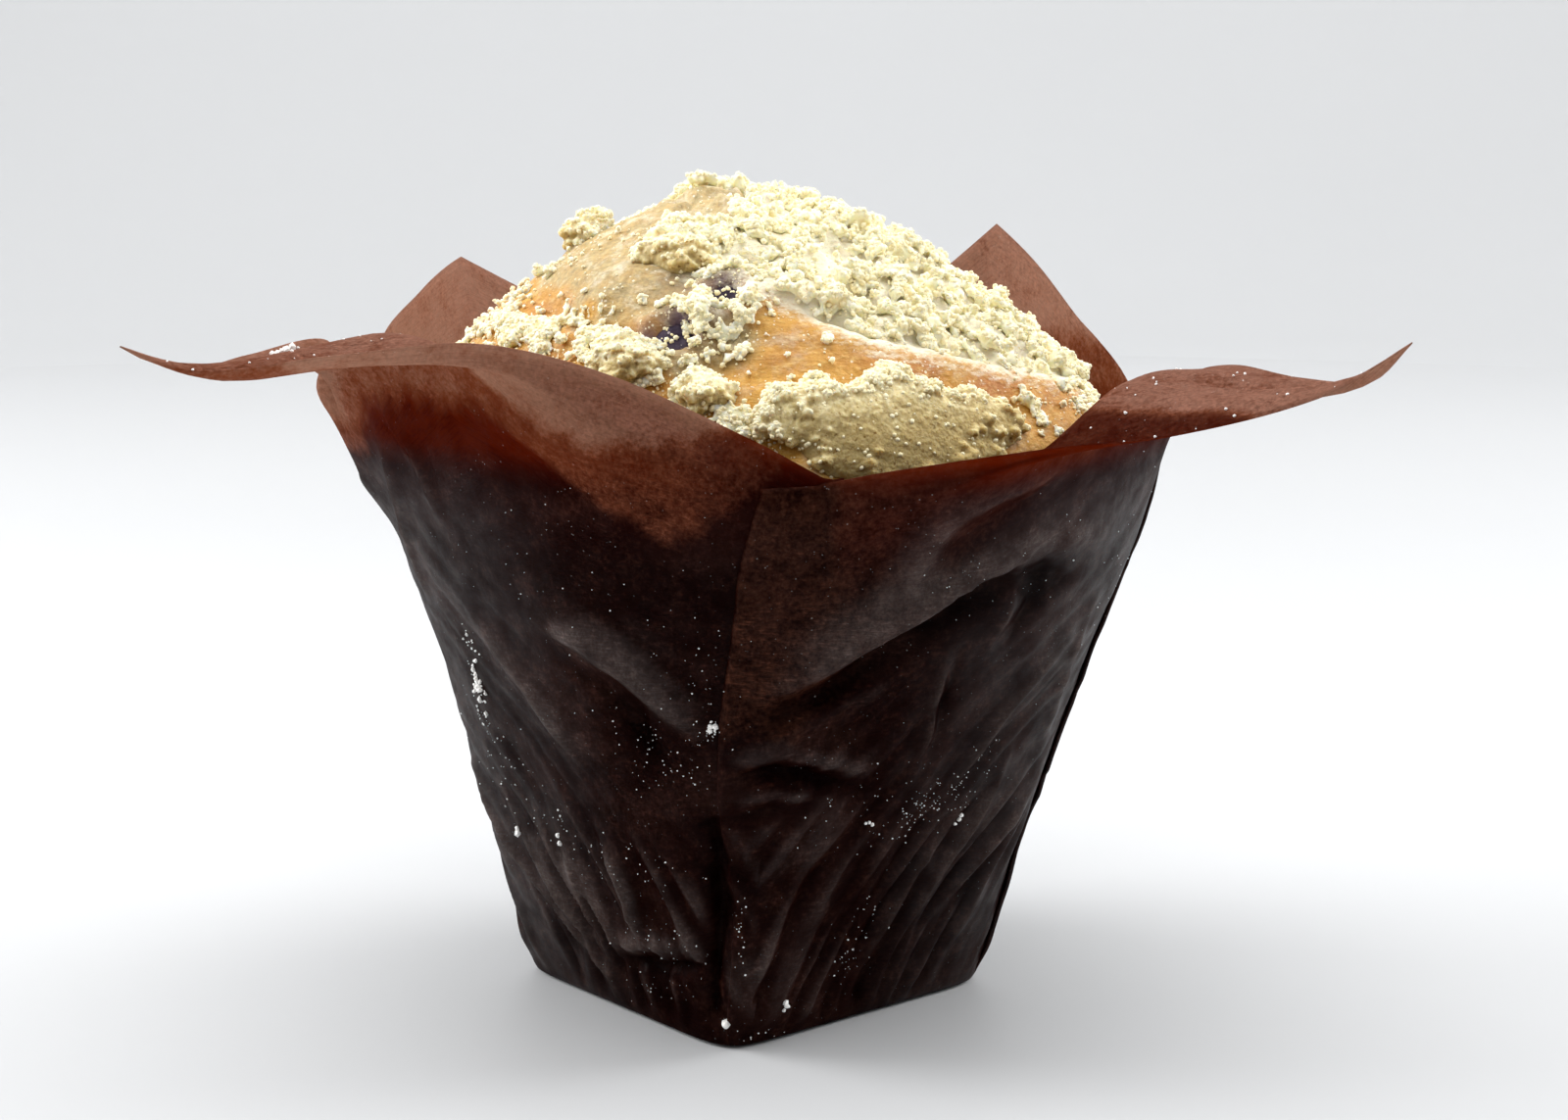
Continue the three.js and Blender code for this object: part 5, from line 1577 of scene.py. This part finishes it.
class MUFFIN_OT_stage(bpy.types.Operator):
    """Makes the floor with its round cove, the lights and the camera"""

    bl_idname = "muffin.stage"
    bl_label = "Stage"

    def execute(self, context):
        settings = context.scene.muffin_stage
        scene = context.scene
        bm = bmesh.new()
        floor_radius, cove_radius, wall_height, arc_steps = 700.0, 500.0, 1300.0, 14
        dip = 0.3  # the cove starts under the floor, so that they meet without a step
        profile = [bm.verts.new((floor_radius, 0, -dip))]
        for k in range(1, arc_steps + 1):
            angle = math.pi / 2 * k / arc_steps
            x = floor_radius + cove_radius * math.sin(angle)
            profile.append(bm.verts.new((x, 0, cove_radius * (1 - math.cos(angle)) - dip)))
        profile.append(bm.verts.new((floor_radius + cove_radius, 0, wall_height)))
        edges = [bm.edges.new(pair) for pair in zip(profile[:-1], profile[1:])]
        bmesh.ops.rotate(bm, verts=profile, cent=(0, 0, 0), matrix=Matrix.Rotation(math.radians(-20), 3, "Z"))
        bmesh.ops.spin(bm, geom=profile + edges, cent=(0, 0, 0), axis=(0, 0, 1), dvec=(0, 0, 0),
                       angle=math.radians(220), steps=72)
        bmesh.ops.remove_doubles(bm, verts=bm.verts, dist=0.01)
        bmesh.ops.recalc_face_normals(bm, faces=bm.faces)
        if sum(face.normal.z * face.calc_area() for face in bm.faces) < 0:
            bmesh.ops.reverse_faces(bm, faces=bm.faces)
        cove = finish_mesh("stage_cove", bm)
        bm = bmesh.new()
        bmesh.ops.create_circle(bm, cap_ends=True, radius=1180, segments=96)
        floor = finish_mesh("stage_floor", bm, smooth=False)
        material, s = new_material("stage_floor")
        tone = s.between(s.noise(s.coordinates(), 300.0), 0.3, 0.7)
        colour = s.mix(tone, tuple(settings.floor), tuple(1.02 * c for c in settings.floor))
        matt = s.add("BsdfPrincipled", Base_Color=colour, Roughness=0.5)
        surface(s, matt.outputs[0])
        for part in (cove, floor):
            part.data.materials.append(material)

        world = bpy.data.worlds.new("studio")
        scene.world = world
        world.use_nodes = True
        # The studio is darker on the camera's side.
        sky = Shader(world.node_tree)
        way = sky.add("SeparateXYZ", Vector=sky.add("TexCoord").outputs["Generated"])
        strength = sky.math("ADD", sky.between(way.outputs["Y"], -0.85, 0.35, 0.28, 0.98),
                            sky.between(way.outputs["Z"], 0.15, 0.9, 0.0, 0.35))
        sky.put(world.node_tree.nodes["Background"].inputs["Color"], (1.0, 1.0, 1.0))
        sky.put(world.node_tree.nodes["Background"].inputs["Strength"], strength)
        place_softboxes()
        scene.camera = place_camera(settings)
        scene.view_settings.view_transform = "Standard"
        scene.view_settings.look = "None"
        return {"FINISHED"}


class MUFFIN_OT_wrap(bpy.types.Operator):
    """Makes the pleated paper wrap with its four petals"""

    bl_idname = "muffin.wrap"
    bl_label = "Wrap"

    def execute(self, context):
        paper = make_wrap(context.scene.muffin_wrap)
        material = paper_material(context.scene.muffin_wrap)
        dress(paper, material, "wrap_paper", "paper_wrap")
        return {"FINISHED"}


class MUFFIN_OT_crown(bpy.types.Operator):
    """Makes the cake with its crown"""

    bl_idname = "muffin.crown"
    bl_label = "Cake and crown"

    def execute(self, context):
        cake = make_crown(context.scene.muffin_wrap.crumple / MM)
        material = crust_material(context.scene.muffin_crown, context.scene.muffin_streusel)
        dress(cake, material, "cake_crust", "muffin_body")
        return {"FINISHED"}


class MUFFIN_OT_lumps(bpy.types.Operator):
    """Makes the lumps of streusel that are as large as berries"""

    bl_idname = "muffin.lumps"
    bl_label = "Streusel lumps"

    def execute(self, context):
        settings = context.scene.muffin_streusel
        material = streusel_material("streusel_lumps", settings, 0.6, 1.0, 1.0, 0.24)
        rng = np.random.default_rng(7)
        for number, (name, lump) in enumerate(CLUMPS.items()):
            piece = streusel_lump(name + "_lump", lump, number, rng)
            dress(piece, material, "streusel", name)
        return {"FINISHED"}


class MUFFIN_OT_berries(bpy.types.Operator):
    """Makes the two blueberries in the crown"""

    bl_idname = "muffin.berries"
    bl_label = "Blueberries"

    def execute(self, context):
        material = berry_material(context.scene.muffin_berry)
        for name, (azimuth, level, radius, proud) in BERRIES.items():
            spot = crown_points(np.array([float(azimuth)]), np.array([level]))[0]
            way = crown_normals(np.array([float(azimuth)]), np.array([level]))[0]
            bm = bmesh.new()
            bmesh.ops.create_uvsphere(bm, u_segments=48, v_segments=32, radius=1)
            ball = np.array([vert.co for vert in bm.verts])
            wrinkled = 1 + 0.05 * noise_at(ball, 0.5, azimuth) + 0.03 * noise_at(ball, 0.2, azimuth)
            dimple = 0.16 * np.exp(-((np.hypot(ball[:, 0], ball[:, 1]) / 0.28) ** 2)) * (ball[:, 2] > 0)
            for vert, size, dent in zip(bm.verts, wrinkled, dimple):
                vert.co *= size
                vert.co.z = vert.co.z * BERRY_FLATNESS - dent
            turned = Vector((0, 0, 1)).rotation_difference(Vector(way)).to_matrix().to_4x4()
            middle = Vector(spot + way * (proud - BERRY_FLATNESS * radius))
            bmesh.ops.transform(bm, matrix=Matrix.Translation(middle) @ turned @ Matrix.Scale(radius, 4),
                                verts=bm.verts)
            berry = finish_mesh(name + "_fruit", bm)
            dress(berry, material, "berry_skin", name)
        return {"FINISHED"}


BARE_RIM = 0.13  # level below which no crumbs lie


def crumb_bed():
    """The crown as a bed for crumbs: its mesh, and how many of them lie where."""
    cake = bpy.data.objects["cake_crown"]
    bed = SimpleNamespace()
    bed.spots, bed.faces = mesh_arrays(cake)
    bed.azimuth = point_values(cake, "azimuth").astype(float)
    bed.level = point_values(cake, "level").astype(float)
    bed.density = crumb_density(bed.azimuth, bed.level) * (bed.level > BARE_RIM)
    bed.clustered = mounds_at(bed.spots)
    bed.everywhere = 0.02 * (bed.level > BARE_RIM)
    return bed


def strew(rng, bed, count, least, most, sunk, piled, gathered):
    """Places and sizes of crumbs on the crown."""
    weight = bed.density * lerp(1, bed.clustered, gathered) + bed.everywhere
    places, normals, azimuth, level = scatter(
        rng, count, bed.spots, bed.faces, weight, bed.azimuth, bed.level
    )
    sizes = least + (most - least) * rng.random(count) ** 2
    deep = np.maximum(thick_crumbs_at(azimuth, level), patches_at(azimuth, level, CRUMB_HEAPS))
    sizes *= lerp(0.75, 1.0, deep)
    lift = sizes * (0.75 - sunk) + deep * piled * rng.random(count) ** 1.5
    return places + normals * lift[:, None], sizes


def spread_over(rng, obj, count, weight):
    """Random places on an object's mesh, with more of them where the weight is high."""
    spots, faces = mesh_arrays(obj)
    flat = np.zeros(len(spots))
    return scatter(rng, count, spots, faces, weight, flat, flat)[0]


def outer_side(obj):
    """1 where an object's mesh faces away from the middle of the crown."""
    spots, _ = mesh_arrays(obj)
    outer = ((spots - np.array([0.0, 0.0, RIM_HEIGHT])) / 50).clip(-1, 1)
    normals = np.zeros(len(spots) * 3, np.float32)
    obj.data.vertices.foreach_get("normal", normals)
    return clamp01((normals.reshape(-1, 3) * outer).sum(axis=1) * 3)


def crumb_masses(rng, bed, settings, material):
    """The larger crumbs, melted together into two masses."""
    strewn = (
        strew(rng, bed, settings.coarse, 0.8, 1.35, 0.35, 0.4, 0.8),
        strew(rng, bed, settings.medium, 0.42, 0.8, 0.25, 0.7, 0.95),
    )
    places, sizes = (np.concatenate(part) for part in zip(*strewn))
    templates = [knobbly_ball(2, 60 + k, 0.26, 4 + k % 3) for k in range(9)]
    in_front = places[:, 1] < MASS_SPLIT
    masses = []
    for name, mine in (("crumbs_front_mass", in_front), ("crumbs_back_mass", ~in_front)):
        piece = joined_grains(name, places[mine], sizes[mine], templates, rng, smooth=True)
        spots, _, bulges = melt(piece, CRUMB_VOXEL, MASS_GRAIN)
        # Painted shade and light: the tone is lighter on bulges and darker in the crevices between them, with
        # some noise at random.
        tone = clamp01(0.52 + 0.45 * bulges + 0.28 * noise_at(spots, 2.2, 46))
        set_attribute(piece.data, "tone", tone)
        dress(piece, material, "streusel")
        masses.append(piece)
    return masses


def loose_grains(rng, bed, hosts, settings, templates, material):
    """Small and fine grains on the crown and on what stands up from it."""
    small = settings.small
    fine = settings.fine
    # name, number strewn on the crown, on the front and back masses and on each berry, least and most size
    kinds = (
        ("crumbs_small", 0.2 * small, 0.52 * small, 0.26 * small, 0.004 * small, 0.18, 0.42),
        ("crumbs_fine", 0.34 * fine, 0.42 * fine, 0.22 * fine, 0.004 * fine, 0.08, 0.19),
    )
    for name, strewn, on_front, on_back, on_berry, least, most in kinds:
        places, sizes = strew(rng, bed, int(strewn), least, most, 0.2, 0.4, 0.85)
        on_hosts = []
        for host, count in zip(hosts, (on_front, on_back, on_berry, on_berry)):
            on_hosts.append(spread_over(rng, host, int(count), outer_side(host)))
        places = np.concatenate([places] + on_hosts)
        more = least + (most - least) * rng.random(len(places) - len(sizes)) ** 1.4
        sizes = np.concatenate([sizes, more])
        piece = joined_grains(name, places, sizes, templates, rng, smooth=True)
        dress(piece, material, "streusel")


def grains_on_lumps(rng, settings, templates, material):
    """Grains on the pale parts of the lumps."""
    places = []
    for name, (_, _, across, up, _) in CLUMPS.items():
        lump = bpy.data.objects[name + "_lump"]
        bright = smooth01((point_values(lump, "tone") - 0.25) / 0.5) + 0.04
        places.append(spread_over(rng, lump, int(settings.on_lumps * across * up), bright))
    places = np.concatenate(places)
    sizes = 0.1 + 0.24 * rng.random(len(places)) ** 1.3
    piece = joined_grains("crumbs_on_lumps", places, sizes, templates, rng, smooth=True)
    dress(piece, material, "streusel")


class MUFFIN_OT_crumbs(bpy.types.Operator):
    """Scatters coarse crumbs, medium crumbs and fine grains of streusel over the crown"""

    bl_idname = "muffin.crumbs"
    bl_label = "Crumbs"

    def execute(self, context):
        settings = context.scene.muffin_streusel
        rng = np.random.default_rng(11)
        bed = crumb_bed()
        grain_material = streusel_material("streusel_grains", settings, 0.6, 0.0, 0.0, 0.03, 0.0)
        mass_material = streusel_material("streusel_crumbs", settings, 0.75, 0.4, 0.2, 0.045)
        masses = crumb_masses(rng, bed, settings, mass_material)
        berries = [bpy.data.objects[name + "_fruit"] for name in BERRIES]
        templates = [knobbly_ball(1, 60 + k, 0.3) for k in range(9)]
        loose_grains(rng, bed, masses + berries, settings, templates, grain_material)
        grains_on_lumps(rng, settings, templates, grain_material)
        return {"FINISHED"}


# Sugar on the wrap: azimuth, height, half width and half height in millimetres, grains, least and most size.
SUGAR_PATCHES = (
    (-64, 41, 0.9, 1.3, 16, 0.08, 0.26), (-68.5, 36, 0.9, 2.2, 46, 0.08, 0.34),
    (-72, 31.5, 1.0, 1.6, 20, 0.05, 0.16), (-71, 27, 5.0, 5.0, 40, 0.04, 0.12),
    (-56, 21, 4.0, 2.0, 22, 0.04, 0.15), (-42, 18, 6.0, 3.0, 22, 0.04, 0.11),
    (-17, 33, 6.0, 4.0, 70, 0.045, 0.12), (-11, 43, 4.0, 5.0, 22, 0.045, 0.12),
    (-8, 36.5, 0.6, 0.9, 22, 0.06, 0.22), (-25, 20, 6.0, 3.0, 26, 0.04, 0.13),
    (-20, 11, 8.0, 3.0, 36, 0.04, 0.12), (-30, 5, 7.0, 2.0, 22, 0.04, 0.12),
    (22, 27, 7.0, 4.0, 34, 0.045, 0.12), (38, 25, 4.5, 3.0, 80, 0.045, 0.14),
    (50, 27, 4.0, 4.5, 46, 0.045, 0.12), (31, 12, 6.0, 4.0, 34, 0.04, 0.12),
    (26, 8, 2.0, 2.0, 22, 0.045, 0.14), (-3, 14, 0.5, 5.0, 22, 0.05, 0.15),
    (30, 52, 9.0, 5.0, 24, 0.045, 0.12), (-30, 52, 14.0, 8.0, 34, 0.045, 0.11),
    (70, 48, 8.0, 10.0, 26, 0.045, 0.11), (140, 25, 18.0, 12.0, 80, 0.045, 0.14),
    (200, 22, 20.0, 10.0, 80, 0.045, 0.14), (255, 28, 16.0, 10.0, 60, 0.045, 0.14),
    (170, 45, 30.0, 10.0, 50, 0.045, 0.12), (0, 1.5, 3.0, 1.0, 14, 0.06, 0.2),
)
# Single larger crumbs that stick to the wrap: azimuth, height and size.
STUCK_CRUMBS = (
    (-72, 18.8, 0.6), (-54.6, 19.9, 0.4), (-8, 36.4, 0.5), (-6, 3.1, 0.72), (8, 4.6, 0.42),
    (51.7, 22.2, 0.42), (23.8, 24.8, 0.32), (-66, 38.5, 0.34), (-69, 35.6, 0.5), (-70, 34.2, 0.42),
    (120, 30, 0.5), (205, 20, 0.6), (236, 33, 0.45),
)


class MUFFIN_OT_sugar(bpy.types.Operator):
    """Scatters sugar and small crumbs over the outside of the wrap and on its petals"""

    bl_idname = "muffin.sugar"
    bl_label = "Sugar on the wrap"

    def execute(self, context):
        rng = np.random.default_rng(23)
        paper = bpy.data.objects["wrap_sheet"]
        depsgraph = context.evaluated_depsgraph_get()
        depsgraph.update()
        places = []
        sizes = []

        def settle(azimuth, height, size):
            """Drops a grain onto the wrap from outside, at an azimuth and a height."""
            far = from_cylinder(azimuth, 120.0, height, float(cup_axis(height)))
            way = from_cylinder(azimuth, -1.0, 0.0)
            hit, spot, normal, _ = paper.ray_cast(Vector(far) * MM, Vector(way), depsgraph=depsgraph)
            if hit:
                places.append(np.array(spot) / MM + np.array(normal) * size * 0.35)
                sizes.append(size)

        for azimuth, height, wide, high, count, least, most in SUGAR_PATCHES:
            for _ in range(count):
                a = azimuth + math.degrees(rng.normal() * wide * 0.6 / 32)
                z = height + rng.normal() * high * 0.6
                size = least + (most - least) * rng.random() ** 3
                if z > 0.6:
                    settle(a, z, size)
        for azimuth, height, size in STUCK_CRUMBS:
            for _ in range(3):
                settle(azimuth + rng.normal() * 0.5, height + rng.normal() * 0.3, size * rng.uniform(0.6, 1))

        def drop(x, y, size):
            """Drops a grain from above onto a petal."""
            above = Vector((x, y, 130)) * MM
            hit, spot, _, _ = paper.ray_cast(above, Vector((0, 0, -1)), depsgraph=depsgraph)
            if hit:
                places.append(np.array(spot) / MM + np.array((0, 0, 1)) * size * 0.5)
                sizes.append(size)

        for azimuth, least_radius, most_radius, count in ((45, 46, 78, 46), (-46, 46, 76, 40)):
            for _ in range(count):
                spot = from_cylinder(azimuth + rng.normal() * 6, rng.uniform(least_radius, most_radius), 0.0)
                drop(spot[0], spot[1], rng.uniform(0.06, 0.2))
        for _ in range(12):
            drop(-44.2 + rng.normal() * 0.7, -36 + rng.normal() * 0.7, rng.uniform(0.25, 0.55))
        templates = [knobbly_ball(1, 80 + k, 0.4) for k in range(6)]
        places = np.array(places)
        sizes = np.array(sizes)
        grains = joined_grains("sugar_specks", places, sizes, templates, rng, smooth=False)
        dress(grains, sugar_material(), "streusel")
        return {"FINISHED"}


class MUFFIN_PT_panel(bpy.types.Panel):
    """Lists the steps that make the muffin"""

    bl_idname = "MUFFIN_PT_panel"
    bl_label = "Streusel Muffin"
    bl_space_type = "VIEW_3D"
    bl_region_type = "UI"
    bl_category = "Muffin"

    def draw(self, context):
        for step in STEPS:
            self.layout.operator(step.bl_idname)


SETTINGS = {
    "muffin_wrap": WrapSettings,
    "muffin_crown": CrownSettings,
    "muffin_streusel": StreuselSettings,
    "muffin_berry": BerrySettings,
    "muffin_stage": StageSettings,
}
STEPS = (
    MUFFIN_OT_stage,
    MUFFIN_OT_wrap,
    MUFFIN_OT_crown,
    MUFFIN_OT_lumps,
    MUFFIN_OT_berries,
    MUFFIN_OT_crumbs,
    MUFFIN_OT_sugar,
)


def register():
    for group in SETTINGS.values():
        bpy.utils.register_class(group)
    for step in STEPS:
        bpy.utils.register_class(step)
    bpy.utils.register_class(MUFFIN_PT_panel)
    for name, group in SETTINGS.items():
        setattr(bpy.types.Scene, name, PointerProperty(type=group))


def unregister():
    for name in SETTINGS:
        delattr(bpy.types.Scene, name)
    bpy.utils.unregister_class(MUFFIN_PT_panel)
    for step in reversed(STEPS):
        bpy.utils.unregister_class(step)
    for group in SETTINGS.values():
        bpy.utils.unregister_class(group)


def main():
    register()
    make_grain_group()
    make_dust_group()
    for step in STEPS:
        module, name = step.bl_idname.split(".")
        getattr(getattr(bpy.ops, module), name)()


if __name__ == "__main__":
    main()
